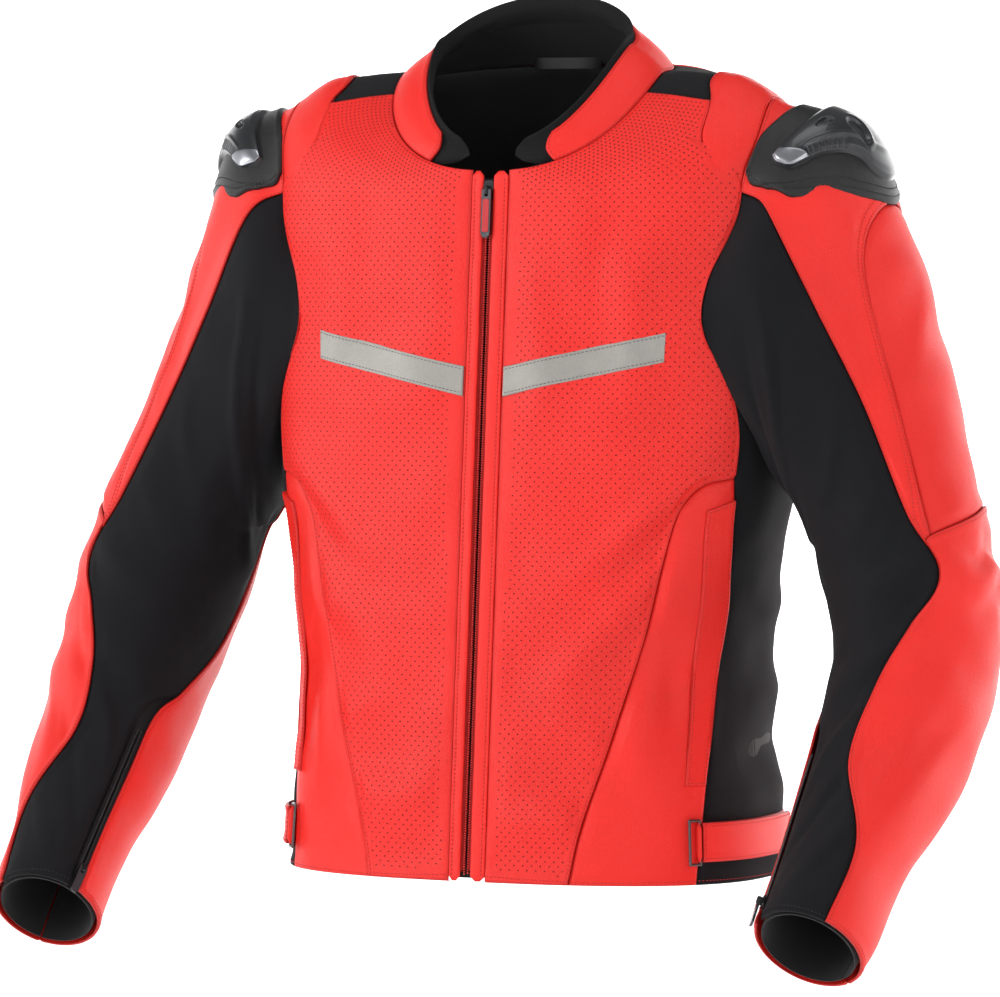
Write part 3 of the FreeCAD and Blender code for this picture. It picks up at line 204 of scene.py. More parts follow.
RINGS = [                 # side half-width, side z, front z, back depth, back z
    [HEM, HEM_Z, HEM_Z, BACK_DEPTH - 1, HEM_Z],
    [WAIST + 3, low(0.3), low(0.3), BACK_DEPTH - 9, low(0.3)],
    [WAIST, low(0.58), low(0.58), BACK_DEPTH - 14, low(0.58)],
    [mix(WAIST, CHEST, 0.35), low(0.8), low(0.8), BACK_DEPTH - 10, low(0.8)],
    [CHEST - 6, ARMPIT_Z, ARMPIT_Z, BACK_DEPTH - 4, ARMPIT_Z],
    [CHEST, side_high(0.248), front_high(0.3), BACK_DEPTH, back_high(0.231)],
    [CHEST + 3, side_high(0.497), front_high(0.556), BACK_DEPTH, back_high(0.45)],
    [CHEST + 1, side_high(0.73), front_high(0.741), BACK_DEPTH - 5, back_high(0.646)],
    [SHOULDER + 3, side_high(0.9), front_high(0.868), BACK_DEPTH - 19, back_high(0.808)],
    [neck_to_shoulder(0.72), side_high(0.978), front_high(0.934), BACK_DEPTH - 40, back_high(0.91)],
    [neck_to_shoulder(0.34), side_high(0.997), front_high(0.971), BACK_DEPTH - 59, back_high(0.97)],
    [NECK, NECK_SIDE_Z, NECK_FRONT_Z, BACK_NECK_DEPTH, NECK_BACK_Z],
]
for ring in RINGS:
    share_up = (ring[2] - HEM_Z) / (NECK_FRONT_Z - HEM_Z)
    ring.insert(2, mix(FRONT_HEM_DEPTH, FRONT_NECK_DEPTH, share_up))


def catmull(points, t):
    """Points at t (0..1) on a smooth curve. Each point may hold one value for every t."""
    points = np.asarray(points, float)
    last = len(points) - 1
    x = np.clip(t, 0, 1) * last
    i = np.minimum(x.astype(int), last - 1)
    u = x - i
    padded = np.concatenate([[2 * points[0] - points[1]], points, [2 * points[-1] - points[-2]]])
    if points.ndim == 3:
        each = np.arange(len(t))
        a, b, c, d = (padded[i + k, each] for k in range(4))
    else:
        a, b, c, d = (padded[i + k] for k in range(4))
    if b.ndim == 2:
        u = u[:, None]
    m1, m2 = (c - a) / 2, (d - b) / 2
    return (2 * b - 2 * c + m1 + m2) * u ** 3 + (-3 * b + 3 * c - 2 * m1 - m2) * u * u + m1 * u + b


def signed_power(x, exponent):
    return np.sign(x) * np.abs(x) ** exponent


def flat_pair(a, b):
    a, b = np.broadcast_arrays(np.asarray(a, float), np.asarray(b, float))
    return a.shape, a.ravel(), b.ravel()


def body_at(angle, v):
    """Points of the leather's outer face, in millimetres. Angle -90 is the centre front, 0 the wearer's
    left side, 90 the centre back, 180 the wearer's right side."""
    shape, angle, v = flat_pair(angle, v)
    ring = catmull(RINGS, v)
    turn = np.radians(angle)
    across = signed_power(np.cos(turn), 2 / SQUARE)
    around = np.abs(np.sin(turn)) ** (2 / SQUARE)
    front = np.sin(turn) < 0
    depth = np.where(front, -ring[:, 2], ring[:, 4])
    end_z = np.where(front, ring[:, 3], ring[:, 5])
    points = [ring[:, 0] * across, AXIS_Y + depth * around, mix(ring[:, 1], end_z, around ** RISE)]
    return np.stack(points, 1).reshape(shape + (3,))


def normals_of(surface, a, b, step_a, step_b):
    across = surface(a + step_a, b) - surface(a - step_a, b)
    up = surface(a, np.minimum(b + step_b, 1.0)) - surface(a, np.maximum(b - step_b, 0.0))
    normal = np.cross(across, up)
    return normal / np.maximum(np.linalg.norm(normal, axis=-1, keepdims=True), 1e-9)


def body_normal(a, b):
    return normals_of(body_at, a, np.clip(b, 0.005, 0.995), 0.8, 0.004)


print("chest point", body_at(-90.0, 0.4).round(1))

# %% [markdown]
# ## Seam lines
# A seam is a smooth curve in surface coordinates, angle and ring number. Points are given
# as a share of the half-width and a height, which is how a pattern cutter marks them.

# %% Seam helpers


def place_at_height(point_at, z, bottom=0.0, top=1.0):
    """Halve a rising stretch until the place is found where it reaches height z."""
    for _ in range(30):
        middle = (bottom + top) / 2
        if point_at(middle)[2] < z:
            bottom = middle
        else:
            top = middle
    return bottom


def level_where(angle, z):
    return place_at_height(lambda v: body_at(angle, v), z)


def spot(share, z, front=True):
    angle = math.degrees(math.acos(min(share, 1.0) ** (SQUARE / 2)))
    angle = -angle if front else angle
    return [angle, level_where(angle, z)]


def curve(*points):
    return lambda t: catmull(points, np.asarray(t, float).ravel())


def straight(a, b):
    return lambda t: mix(np.asarray(a, float), np.asarray(b, float), np.asarray(t, float).ravel()[:, None])


def backwards(seam):
    return lambda t: seam(1 - np.asarray(t, float))


def along(seam, start, end):
    return lambda t: seam(mix(start, end, np.asarray(t, float)))


def pieced(*pieces):
    """One seam made of several, each given with the share of the way where it ends."""
    def seam(t):
        t = np.asarray(t, float).ravel()
        out = np.zeros((len(t), 2))
        start = -1.0
        first = 0.0
        for end, piece in pieces:
            inside = (t > start) & (t <= end)
            if end == pieces[-1][0]:
                inside = t > start
            if inside.any():
                out[inside] = piece((t[inside] - first) / (end - first))
            start = first = end
        return out
    return seam


def front_edge(distance):
    def seam(t):
        t = np.clip(np.asarray(t, float).ravel(), 0, 1)
        half = catmull(RINGS, t)[:, 0]
        return np.stack([-np.degrees(np.arccos((distance / half) ** (SQUARE / 2))), t], 1)
    return seam


def mirrored_seam(seam):
    return lambda t: seam(t) * [-1, 1] + [180, 0]


# %% The body's seams
ARMHOLE = [
    [0.0, 0.752], spot(0.937, side_high(0.78)), spot(0.9, side_high(0.643)), spot(0.808, side_high(0.481)),
    spot(0.808, side_high(0.339)), spot(0.933, side_high(0.177)), [0.0, 0.365],
    spot(0.933, back_high(0.171), False), spot(0.857, back_high(0.339), False),
    spot(0.839, back_high(0.502), False), spot(0.881, back_high(0.652), False),
    spot(0.933, back_high(0.772), False),
]


def armhole(turn):
    """The armhole seam: turn 0 at the shoulder top, 0.25 in front, 0.5 at the armpit, 0.75 behind."""
    points = np.array(ARMHOLE)
    x = (np.asarray(turn, float).ravel() % 1.0) * len(points)
    i = x.astype(int)
    u = (x - i)[:, None]
    a, b, c, d = (points[(i + k) % len(points)] for k in (-1, 0, 1, 2))
    m1, m2 = (c - a) / 2, (d - b) / 2
    return (2 * b - 2 * c + m1 + m2) * u ** 3 + (-3 * b + 3 * c - 2 * m1 - m2) * u * u + m1 * u + b


def armhole_point(turn):
    return list(armhole(turn)[0])


APEX, SIDE_TOP, BACK_TOP, SIDE_BACK = 1.6 / 12, 4.7 / 12, 10.6 / 12, 7.3 / 12
NECK_FRONT_CORNER, NECK_BACK_CORNER = [-15.0, 1.0], [34.0, 1.0]
INSERT_FRONT, INSERT_BACK = spot(0.969, side_high(0.925)), spot(0.859, back_high(0.907), False)
insert_outer = curve(INSERT_FRONT, [0.0, 0.876], INSERT_BACK)
insert_front = curve(INSERT_FRONT, NECK_FRONT_CORNER)
insert_back = curve(INSERT_BACK, NECK_BACK_CORNER)
shoulder_seam = curve(
    INSERT_FRONT, spot(0.879, side_high(0.835)), spot(0.832, side_high(0.752)), armhole_point(APEX))
back_shoulder_seam = curve(INSERT_BACK, spot(0.836, back_high(0.82), False), armhole_point(BACK_TOP))
SIDE_CORNER = spot(0.926, ARMPIT_Z)
side_seam = curve(
    spot(0.877, HEM_Z), spot(0.919, low(0.299)), spot(0.945, low(0.548)), spot(0.951, low(0.798)),
    SIDE_CORNER)
upper_side_seam = curve(SIDE_CORNER, spot(0.925, side_high(0.109)), armhole_point(SIDE_TOP))
panel_line = curve(
    spot(0.429, HEM_Z), spot(0.484, low(0.15)), spot(0.61, low(0.386)), spot(0.711, low(0.604)),
    spot(0.743, low(0.782)), spot(0.773, low(0.916)), spot(0.836, low(0.981)), SIDE_CORNER)
panel_seam = along(panel_line, 0.0, 5 / 7)
pocket_top = along(panel_line, 5 / 7, 1.0)
back_side_seam = curve(
    spot(0.837, HEM_Z, False), spot(0.838, low(0.299), False), spot(0.862, low(0.548), False),
    spot(0.896, low(0.86), False), armhole_point(SIDE_BACK))
outer_front = pieced(
    (0.33, panel_seam), (0.39, pocket_top), (0.46, upper_side_seam),
    (0.72, along(armhole, SIDE_TOP, APEX)), (1.0, backwards(shoulder_seam)))
print("armhole at the front", armhole_point(0.25))

# %% [markdown]
# ## The shape of the sleeves
# A sleeve starts on the armhole, widens over the shoulder and bends at the elbow. Three
# listed rings carry the shoulder cap, and seven ovals on a bent centre line the rest.

# %% The sleeve surface
CAP_RINGS = [             # top, front, inner and back point: x out from the chest, y, share of the height
    [(51, 20, 0.898), (-7, -72, 0.464), (4, 10, -0.027), (5, 104, 0.484)],
    [(89, 30, 0.611), (27, -66, 0.297), (15, 10, -0.083), (33, 108, 0.317)],
    [(121, 27, 0.317), (63, -60, 0.11), (27, 8, -0.164), (71, 94, 0.117)],
]
ARM_RINGS = [             # centre: x out from the chest, y, drop below the armpit; half-width, half-depth
    [(96, 4, 34), 67, 72], [(113, -8, 95), 67, 73], [(121, -28, 145), 66, 70], [(122, -66, 197), 62, 63],
    [(118, -116, 251), 55, 56], [(115, -168, 301), 48, 50], [(110, -217, 350), 43, 45],
]
SHOULDER_TOP_Z = body_at(*armhole_point(0.0))[2]
arm_centres = np.array([(CHEST + x, AXIS_Y + y, ARMPIT_Z - drop) for (x, y, drop), _, _ in ARM_RINGS])


def unit(vector):
    return vector / np.linalg.norm(vector)


def sleeve_rings(phi):
    c, s = np.cos(np.radians(phi))[:, None], np.sin(np.radians(phi))[:, None]
    rings = [body_at(*armhole(phi / 360.0).T)]
    for points in CAP_RINGS:
        top, front, inner, back = [
            np.array([CHEST + x, AXIS_Y + y, mix(ARMPIT_Z, SHOULDER_TOP_Z, share)]) for x, y, share in points]
        skew = (top + inner - front - back) * 0.25 * np.cos(np.radians(2 * phi))[:, None]
        rings.append((top + front + inner + back) / 4 + (top - inner) / 2 * c + (front - back) / 2 * s + skew)
    for index, (_, width, depth) in enumerate(ARM_RINGS):
        before = arm_centres[max(index - 1, 0)] if index else arm_centres[0] + [-27, -16, 55]
        down = unit(arm_centres[min(index + 1, 6)] - before)
        lateral = unit(np.array([1.0, 0, 0]) - down * down[0])
        front = -np.cross(lateral, down)
        front = -front if front[1] > 0 else front
        rings.append(arm_centres[index] + lateral * (width * c) + front * (depth * s))
    return np.stack(rings)


def sleeve_at(phi, w):
    """The wearer's left sleeve. Phi 0 is outside, 90 front, 180 inside, 270 back; w runs down the arm."""
    shape, phi, w = flat_pair(phi, w)
    return catmull(sleeve_rings(phi), w).reshape(shape + (3,))


def sleeve_normal(phi, w):
    return normals_of(sleeve_at, phi, np.clip(w, 0.01, 0.99), 2.0, 0.01)


print("cuff centre", sleeve_at(0.0, 1.0).round(1))

# %% The collar surface
COLLAR_TOP = [84, 10, 83, -78, 46, 44]     # side half-width, z, front depth, z, back depth, z
COLLAR_SQUARE = 2.2


def collar_at(angle, h):
    """The collar's outer face; h is 0 at the neck seam and 1 at the top edge."""
    shape, angle, h = flat_pair(angle, h)
    turn = np.radians(angle)
    across = signed_power(np.cos(turn), 2 / COLLAR_SQUARE)
    around = np.abs(np.sin(turn)) ** (2 / COLLAR_SQUARE)
    front = np.sin(turn) < 0
    width, side_z, front_depth, front_z, back_depth, back_z = COLLAR_TOP
    depth = np.where(front, -front_depth, back_depth)
    end_z = np.where(front, front_z, back_z)
    top = np.stack([width * across, AXIS_Y + depth * around, mix(side_z, end_z, around ** RISE)], 1)
    base = body_at(angle, 1.0)
    points = base + (top - base) * h[:, None]
    out = points * [1, 1, 0] - [0, AXIS_Y, 0]
    bulge = 3.0 * np.sin(np.pi * h)[:, None]
    return (points + out / np.linalg.norm(out, axis=1, keepdims=True) * bulge).reshape(shape + (3,))


def collar_normal(a, b):
    return normals_of(collar_at, a, np.clip(b, 0.03, 0.97), 1.5, 0.03)


def end_angle(x):
    return -math.degrees(math.acos((x / 100.0) ** (COLLAR_SQUARE / 2)))


print("collar top at the back", collar_at(90.0, 1.0).round(1))

# %% [markdown]
# ## Laying the shape flat
# Leather is flat before it is sewn, so patterns such as holes and grain follow distances
# along the skin. A table of those distances turns surface coordinates into millimetres on
# the flat hide, which is also each panel's UV map.

# %% Flat distances


def lay_flat(surface, a_range, b_range, zero):
    a_grid, b_grid = np.linspace(*a_range, 181), np.linspace(*b_range, 61)
    net = surface(a_grid[:, None], b_grid[None, :])
    across = np.zeros(net.shape[:2])
    across[1:] = np.cumsum(np.linalg.norm(np.diff(net, axis=0), axis=-1), axis=0)
    across -= across[np.argmin(abs(a_grid - zero))]
    up = np.zeros(net.shape[:2])
    up[:, 1:] = np.cumsum(np.linalg.norm(np.diff(net, axis=1), axis=-1), axis=1)
    table = np.stack([across, up], -1)

    def flat(a, b):
        x = np.clip((a - a_grid[0]) / (a_grid[-1] - a_grid[0]) * 180, 0, 179.999)
        y = np.clip((b - b_grid[0]) / (b_grid[-1] - b_grid[0]) * 60, 0, 59.999)
        i, j = x.astype(int), y.astype(int)
        u, v = (x - i)[..., None], (y - j)[..., None]
        near = mix(table[i, j], table[i + 1, j], u)
        return mix(near, mix(table[i, j + 1], table[i + 1, j + 1], u), v)
    return flat


body_flat = lay_flat(body_at, (-130, 270), (0, 1), -90.0)
sleeve_flat = lay_flat(sleeve_at, (-90, 330), (0, 1), 0.0)
collar_flat = lay_flat(collar_at, (-90, 270), (0, 1), 90.0)
print("side of the chest is", body_flat(np.array(0.0), np.array(0.4)).round(), "mm from the zip's foot")

# %% [markdown]
# ## Folds
# Real folds run from where cloth is held to where it is pushed together: from the armpit,
# inside the elbow, above the hem. Each fold is a line on the flat hide with a height and a
# width; a small, slow unevenness is added everywhere, because leather never lies dead flat.

# %% Fold helpers
soft = np.random.default_rng(7)
WAVES = [(soft.normal(0, 1 / 34, 3), soft.uniform(0, 6.28), 0.55) for _ in range(9)]
WAVES += [(soft.normal(0, 1 / 13, 3), soft.uniform(0, 6.28), 0.2) for _ in range(9)]


def unevenness(points):
    return sum(height * np.sin(points @ direction + start) for direction, start, height in WAVES)


def distance_to_line(flat, line):
    """Distance of each flat point from a line of points, and the share of the way along it."""
    best = np.full(flat.shape[:-1], 1e9)
    place = np.zeros(flat.shape[:-1])
    line = np.asarray(line, float)
    for k, (p, q) in enumerate(zip(line, line[1:])):
        way = q - p
        t = np.clip(((flat - p) @ way) / (way @ way), 0, 1)
        gap = np.linalg.norm(flat - p - t[..., None] * way, axis=-1)
        closer = gap < best
        best = np.where(closer, gap, best)
        place = np.where(closer, (k + t) / (len(line) - 1), place)
    return best, place


def folds(flat, lines):
    """Sum of soft ridges; a negative height is a valley. Each line fades out at both ends."""
    height = np.zeros(flat.shape[:-1])
    for rise, width, line in lines:
        smooth = catmull(np.array(line, float), np.linspace(0, 1, 9))
        gap, place = distance_to_line(flat, smooth)
        fade = np.sin(np.pi * np.clip(place, 0.02, 0.98)) ** 0.7
        height += rise * fade * np.exp(-(gap / width) ** 2)
    return height


print("unevenness of the chest", unevenness(np.array([[0.0, -180.0, -300.0]])).round(2), "mm")

# %% [markdown]
# ## Panels
# A panel is a grid between four seams (a Coons patch). Rows of points stand close together
# near the edges, because that is where a sewn panel changes: it dips into the seam, bulges
# where the leather is folded double, and is pulled down by the stitches.

# %% The panel maker
EDGE_STEPS = np.array([0.0, 0.5, 1.2, 2.6, 4.2, 7.0])
STITCH_STEP, SECOND_STITCH_STEP = 3, 5
FOLD_RISE = 2.1
EDGES = {                 # height of the leather above the smooth surface, at each edge step
    "fold": [0.1, 1.05, 1.35, 0.75, 1.15, 0.45],
    "tuck": [-1.3, -1.15, -0.8, -0.25, 0.0, 0.0],
    "roll": [-1.5, -0.75, -0.2, 0.15, 0.2, 0.05],
    "hem": [-0.6, 0.35, 0.6, 0.5, 0.65, 0.15],
    "flat": [-0.2, 0.0, 0.05, 0.0, 0.0, 0.0],
    "pad": [-2.6, -1.2, -0.4, 0.25, 0.3, 0.1],
}
SURFACES = {
    "body": (body_at, body_normal, body_flat),
    "sleeve": (sleeve_at, sleeve_normal, sleeve_flat),
    "collar": (collar_at, collar_normal, collar_flat),
}


def coons(seams, s, t):
    shape, s, t = flat_pair(s, t)
    bottom, right, top, left = seams
    c00, c10, c11, c01 = bottom([0])[0], bottom([1])[0], top([1])[0], top([0])[0]
    s2, t2 = s[:, None], t[:, None]
    rows = mix(bottom(s), top(s), t2)
    columns = mix(left(t), right(t), s2)
    corners = mix(mix(c00, c10, s2), mix(c01, c11, s2), t2)
    return (rows + columns - corners).reshape(shape + (2,))


def spread(length, count, steps):
    """Places 0..1 across a length in millimetres: the edge steps at both ends, even steps between."""
    near = steps / length
    squeeze = np.minimum(1.0, 0.45 / near[..., -1:])
    near = near * squeeze
    even = np.linspace(0, 1, count + 2)[1:-1]
    middle = mix(near[..., -1:], 1 - near[..., -1:], even)
    return np.concatenate([near, middle, 1 - near[..., ::-1]], axis=-1)


def make_panel(kind, seams, edges, lift=0.0, cell=4.0, lines=(), puff=0.0, uneven=1.0, thickness=1.4,
               fade=14.0):
    """Grid of one panel. Edges are the finishes at bottom, right, top and left; folds fade towards them."""
    surface, normal, flat = SURFACES[kind]
    fine = np.linspace(0, 1, 25)
    net = coons(seams, fine[None, :], fine[:, None])
    points = surface(net[..., 0], net[..., 1])
    widths = np.maximum(np.linalg.norm(np.diff(points, axis=1), axis=-1).sum(axis=1), 3.0)
    heights = np.maximum(np.linalg.norm(np.diff(points, axis=0), axis=-1).sum(axis=0), 3.0)
    columns = max(int(widths.max() / cell), 2)
    rows = max(int(heights.max() / cell), 2)
    t_even = spread(np.array([heights.mean()])[:, None], rows, EDGE_STEPS)[0]
    s_even = spread(np.array([widths.mean()])[:, None], columns, EDGE_STEPS)[0]
    row_widths = np.interp(t_even, fine, widths)
    column_heights = np.interp(s_even, fine, heights)
    s = spread(row_widths[:, None], columns, EDGE_STEPS)
    t = spread(column_heights[:, None], rows, EDGE_STEPS).T
    net = coons(seams, s, t)
    a, b = net[..., 0], net[..., 1]
    skin = surface(a, b)
    out = normal(a, b)
    hide = flat(a, b)
    distances = [t * column_heights, (1 - s) * row_widths[:, None], (1 - t) * column_heights,
        s * row_widths[:, None]]
    height = sum(np.interp(d, EDGE_STEPS, EDGES[name]) for d, name in zip(distances, edges))
    edge = np.minimum.reduce(distances)
    inside = np.clip(edge / fade, 0, 1)
    height = height + inside * (FOLD_RISE * folds(hide, lines) + uneven * unevenness(skin))
    height = height + puff * np.sin(np.pi / 2 * np.clip(edge / 26.0, 0, 1))
    points = skin + out * (lift + height)[..., None]
    return {"points": points, "normals": out, "flat": hide, "edge": edge, "thickness": thickness}


def mirror_panel(panel):
    flipped = dict(panel)
    flipped["points"] = panel["points"][:, ::-1] * [-1, 1, 1]
    flipped["normals"] = panel["normals"][:, ::-1] * [-1, 1, 1]
    flipped["flat"] = panel["flat"][:, ::-1] * [-1, 1]
    flipped["edge"] = panel["edge"][:, ::-1]
    return flipped


def add_layers(mesh, hide, edge):
    """Flat distances as the UV map, in metres, and the distance from the panel's edge."""
    uv = mesh.uv_layers.new(name="hide")
    corner = np.zeros(len(mesh.loops), int)
    mesh.loops.foreach_get("vertex_index", corner)
    uv.data.foreach_set("uv", (hide[corner] * MM).ravel().astype(np.float32))
    layer = mesh.attributes.new("edge_mm", "FLOAT", "POINT")
    layer.data.foreach_set("value", edge.astype(np.float32))


def sheet_faces(rows, columns, start=0, inward=False):
    k = start + np.arange(rows * columns).reshape(rows, columns)
    quads = np.stack([k[:-1, :-1], k[:-1, 1:], k[1:, 1:], k[1:, :-1]], -1).reshape(-1, 4)
    return quads[:, ::-1] if inward else quads


def finish_mesh(name, points, quads, material, body="root", hide=None, edge=None, smooth=True):
    mesh = bpy.data.meshes.new(name)
    mesh.from_pydata((points * MM).tolist(), [], quads.tolist())
    if smooth:
        mesh.polygons.foreach_set("use_smooth", [True] * len(mesh.polygons))
    if hide is not None:
        add_layers(mesh, hide, edge)
    mesh.materials.append(material)
    mesh.update()
    piece = bpy.data.objects.new(name, mesh)
    bpy.context.scene.collection.objects.link(piece)
    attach(piece, body)
    return piece


def sew_panel(name, panel, material, body="root"):
    """Closed solid: the outer grid, the same grid a leather's thickness inside, and four walls."""
    outer, out = panel["points"], panel["normals"]
    inner = outer - out * panel["thickness"]
    rows, columns = outer.shape[:2]
    total = rows * columns
    quads = [sheet_faces(rows, columns), sheet_faces(rows, columns, total, inward=True)]
    k = np.arange(total).reshape(rows, columns)
    rim = np.concatenate([k[0, :], k[1:, -1], k[-1, -2::-1], k[-2:0:-1, 0]])
    after = np.roll(rim, -1)
    quads.append(np.stack([rim, rim + total, after + total, after], -1))
    points = np.concatenate([outer.reshape(-1, 3), inner.reshape(-1, 3)])
    hide = np.tile(panel["flat"].reshape(-1, 2), (2, 1))
    edge = np.tile(panel["edge"].ravel(), 2)
    piece = finish_mesh(name, points, np.concatenate(quads), material, body, hide, edge)
    return piece


def edge_line(panel, side, step=STITCH_STEP, trim=3):
    """The line of points a few millimetres inside one edge, where thread runs."""
    points = panel["points"]
    line = {
        "bottom": points[step], "top": points[-1 - step], "left": points[:, step],
        "right": points[:, -1 - step],
    }[side]
    return line[trim:len(line) - trim]


print("panel tools ready")

# %% [markdown]
# ## Finishes
# Leather needs three scales at once: a slow drift of colour over a hand's width, a grain of
# cells about a millimetre wide, and a line of painted shade where it dips into a seam. One
# node group makes all three from its inputs, and every leather uses it with its own values.
# Fabric has its own group, a fine twill laid in the object's own space.

# %% Node helpers


def new_group(name, inputs, outputs):
    tree = bpy.data.node_groups.new(name, "ShaderNodeTree")
    for label, kind, value in inputs:
        socket = tree.interface.new_socket(name=label, in_out="INPUT", socket_type=kind)
        socket.default_value = value
    for label, kind in outputs:
        tree.interface.new_socket(name=label, in_out="OUTPUT", socket_type=kind)
    return tree, tree.nodes.new("NodeGroupInput"), tree.nodes.new("NodeGroupOutput")


def add_node(tree, kind, values=(), links=(), **settings):
    """A node with its settings, its socket values by name or number, and its incoming links."""
    node = tree.nodes.new(kind)
    for key, value in settings.items():
        setattr(node, key, value)
    for socket, value in dict(values).items():
        node.inputs[socket].default_value = value
    for socket, source in dict(links).items():
        tree.links.new(source, node.inputs[socket])
    return node


def math_node(tree, operation, a, b=None, clamp=False):
    node = tree.nodes.new("ShaderNodeMath")
    node.operation = operation
    node.use_clamp = clamp
    for index, value in enumerate((a, b)):
        if value is None:
            continue
        if isinstance(value, (int, float)):
            node.inputs[index].default_value = value
        else:
            tree.links.new(value, node.inputs[index])
    return node.outputs[0]


def tinted(tree, colour, factor):
    """The colour times a factor that changes over the surface."""
    node = add_node(tree, "ShaderNodeVectorMath", operation="SCALE")
    tree.links.new(colour, node.inputs[0])
    tree.links.new(factor, node.inputs["Scale"])
    return node.outputs[0]


# %% Leather group
leather_group, given, result = new_group(
    "hide_finish",
    [("Colour", "NodeSocketColor", (1, 1, 1, 1)), ("Grain Scale", "NodeSocketFloat", 800.0),
     ("Drift", "NodeSocketFloat", 0.08), ("Roughness", "NodeSocketFloat", 0.45),
     ("Painted Seam Shade", "NodeSocketFloat", 0.35)],
    [("Colour", "NodeSocketColor"), ("Roughness", "NodeSocketFloat"), ("Height", "NodeSocketFloat")])
place = leather_group.nodes.new("ShaderNodeTexCoord").outputs["Object"]
drift = add_node(leather_group, "ShaderNodeTexNoise", {"Scale": 14.0, "Detail": 3.0},
    {"Vector": place}).outputs["Fac"]
cells = add_node(
    leather_group, "ShaderNodeTexVoronoi", {}, {"Vector": place, "Scale": given.outputs["Grain Scale"]},
    feature="DISTANCE_TO_EDGE").outputs["Distance"]
creases = add_node(
    leather_group, "ShaderNodeTexNoise", {"Scale": 260.0, "Detail": 4.0}, {"Vector": place}).outputs["Fac"]
pebbles = math_node(leather_group, "MINIMUM", math_node(leather_group, "MULTIPLY", cells, 3.0), 1.0)
height = math_node(leather_group, "ADD", pebbles, math_node(leather_group, "MULTIPLY", creases, 1.3))
# Painted shade: the colour darkens within 1.6 mm of a panel's edge, where the leather dips into a seam.
from_edge = add_node(leather_group, "ShaderNodeAttribute", attribute_name="edge_mm").outputs["Fac"]
near_seam = math_node(leather_group, "SUBTRACT", 1.0, math_node(leather_group, "DIVIDE", from_edge, 1.6),
    clamp=True)
swing = math_node(leather_group, "MULTIPLY", math_node(leather_group, "SUBTRACT", drift, 0.5),
    given.outputs["Drift"])
groove = math_node(leather_group, "MULTIPLY", math_node(leather_group, "SUBTRACT", pebbles, 1.0), 0.10)
painted_seam_shade = math_node(leather_group, "MULTIPLY", near_seam, given.outputs["Painted Seam Shade"])
factor = math_node(leather_group, "SUBTRACT", math_node(
    leather_group, "ADD", math_node(leather_group, "MULTIPLY", swing, 2.0), math_node(
        leather_group, "ADD", groove, 1.0)), painted_seam_shade)
leather_group.links.new(tinted(leather_group, given.outputs["Colour"], factor), result.inputs["Colour"])
leather_group.links.new(math_node(
    leather_group, "ADD", given.outputs["Roughness"], math_node(leather_group, "MULTIPLY", swing, 1.5)),
    result.inputs["Roughness"])
leather_group.links.new(height, result.inputs["Height"])


def bump_from(tree, shader, height, distance, strength=1.0):
    bump = add_node(tree, "ShaderNodeBump", {"Distance": distance, "Strength": strength}, {"Height": height})
    tree.links.new(bump.outputs["Normal"], shader.inputs["Normal"])


def leather(name, colour, roughness, grain=800.0, depth=0.00012, drift=0.08, coat=0.0):
    material, tree, shader = new_material(name, colour, roughness)
    finish = add_node(tree, "ShaderNodeGroup", node_tree=leather_group)
    for label, value in (("Colour", (*colour, 1)), ("Grain Scale", grain), ("Drift", drift),
        ("Roughness", roughness)):
        finish.inputs[label].default_value = value
    tree.links.new(finish.outputs["Colour"], shader.inputs["Base Color"])
    tree.links.new(finish.outputs["Roughness"], shader.inputs["Roughness"])
    shader.inputs["Coat Weight"].default_value = coat
    shader.inputs["Coat Roughness"].default_value = 0.45
    shader.inputs["Specular IOR Level"].default_value = 0.36
    bump_from(tree, shader, finish.outputs["Height"], depth)
    return material


RED = (0.90, 0.020, 0.013)
red_leather = leather("red_leather", RED, 0.44)
red_perforated = leather("red_perforated_leather", (0.87, 0.020, 0.014), 0.5)
black_leather = leather("black_leather", (0.013, 0.013, 0.014), 0.42, drift=0.2)
print("leather group has", len(leather_group.nodes), "nodes")

# %% Fabric group
fabric_group, given, result = new_group(
    "fabric_finish",
    [("Colour", "NodeSocketColor", (1, 1, 1, 1)), ("Thread Scale", "NodeSocketFloat", 900.0),
     ("Mottle", "NodeSocketFloat", 0.3)],
    [("Colour", "NodeSocketColor"), ("Height", "NodeSocketFloat")])
place = fabric_group.nodes.new("ShaderNodeTexCoord").outputs["Object"]
scaled = add_node(fabric_group, "ShaderNodeVectorMath", operation="SCALE")
fabric_group.links.new(place, scaled.inputs[0])
fabric_group.links.new(given.outputs["Thread Scale"], scaled.inputs["Scale"])
ribs = [add_node(
    fabric_group, "ShaderNodeTexWave", {"Scale": 1.0, "Distortion": 0.4}, {"Vector": scaled.outputs[0]},
    wave_type="BANDS", bands_direction=direction).outputs["Fac"] for direction in ("DIAGONAL", "Z")]
weave = math_node(fabric_group, "ADD", math_node(fabric_group, "MULTIPLY", ribs[0], 0.6), math_node(
    fabric_group, "MULTIPLY", ribs[1], 0.4))
mottle = add_node(fabric_group, "ShaderNodeTexNoise", {"Scale": 55.0, "Detail": 5.0},
    {"Vector": place}).outputs["Fac"]
lint = add_node(fabric_group, "ShaderNodeTexNoise", {"Scale": 900.0, "Detail": 2.0},
    {"Vector": place}).outputs["Fac"]
swing = math_node(fabric_group, "MULTIPLY", math_node(
    fabric_group, "SUBTRACT", math_node(fabric_group, "ADD", mottle, lint), 1.0), given.outputs["Mottle"])
shade = math_node(fabric_group, "ADD", math_node(fabric_group, "ADD", swing, 0.75), math_node(
    fabric_group, "MULTIPLY", weave, 0.4))
fabric_group.links.new(tinted(fabric_group, given.outputs["Colour"], shade), result.inputs["Colour"])
fabric_group.links.new(math_node(fabric_group, "ADD", weave, lint), result.inputs["Height"])


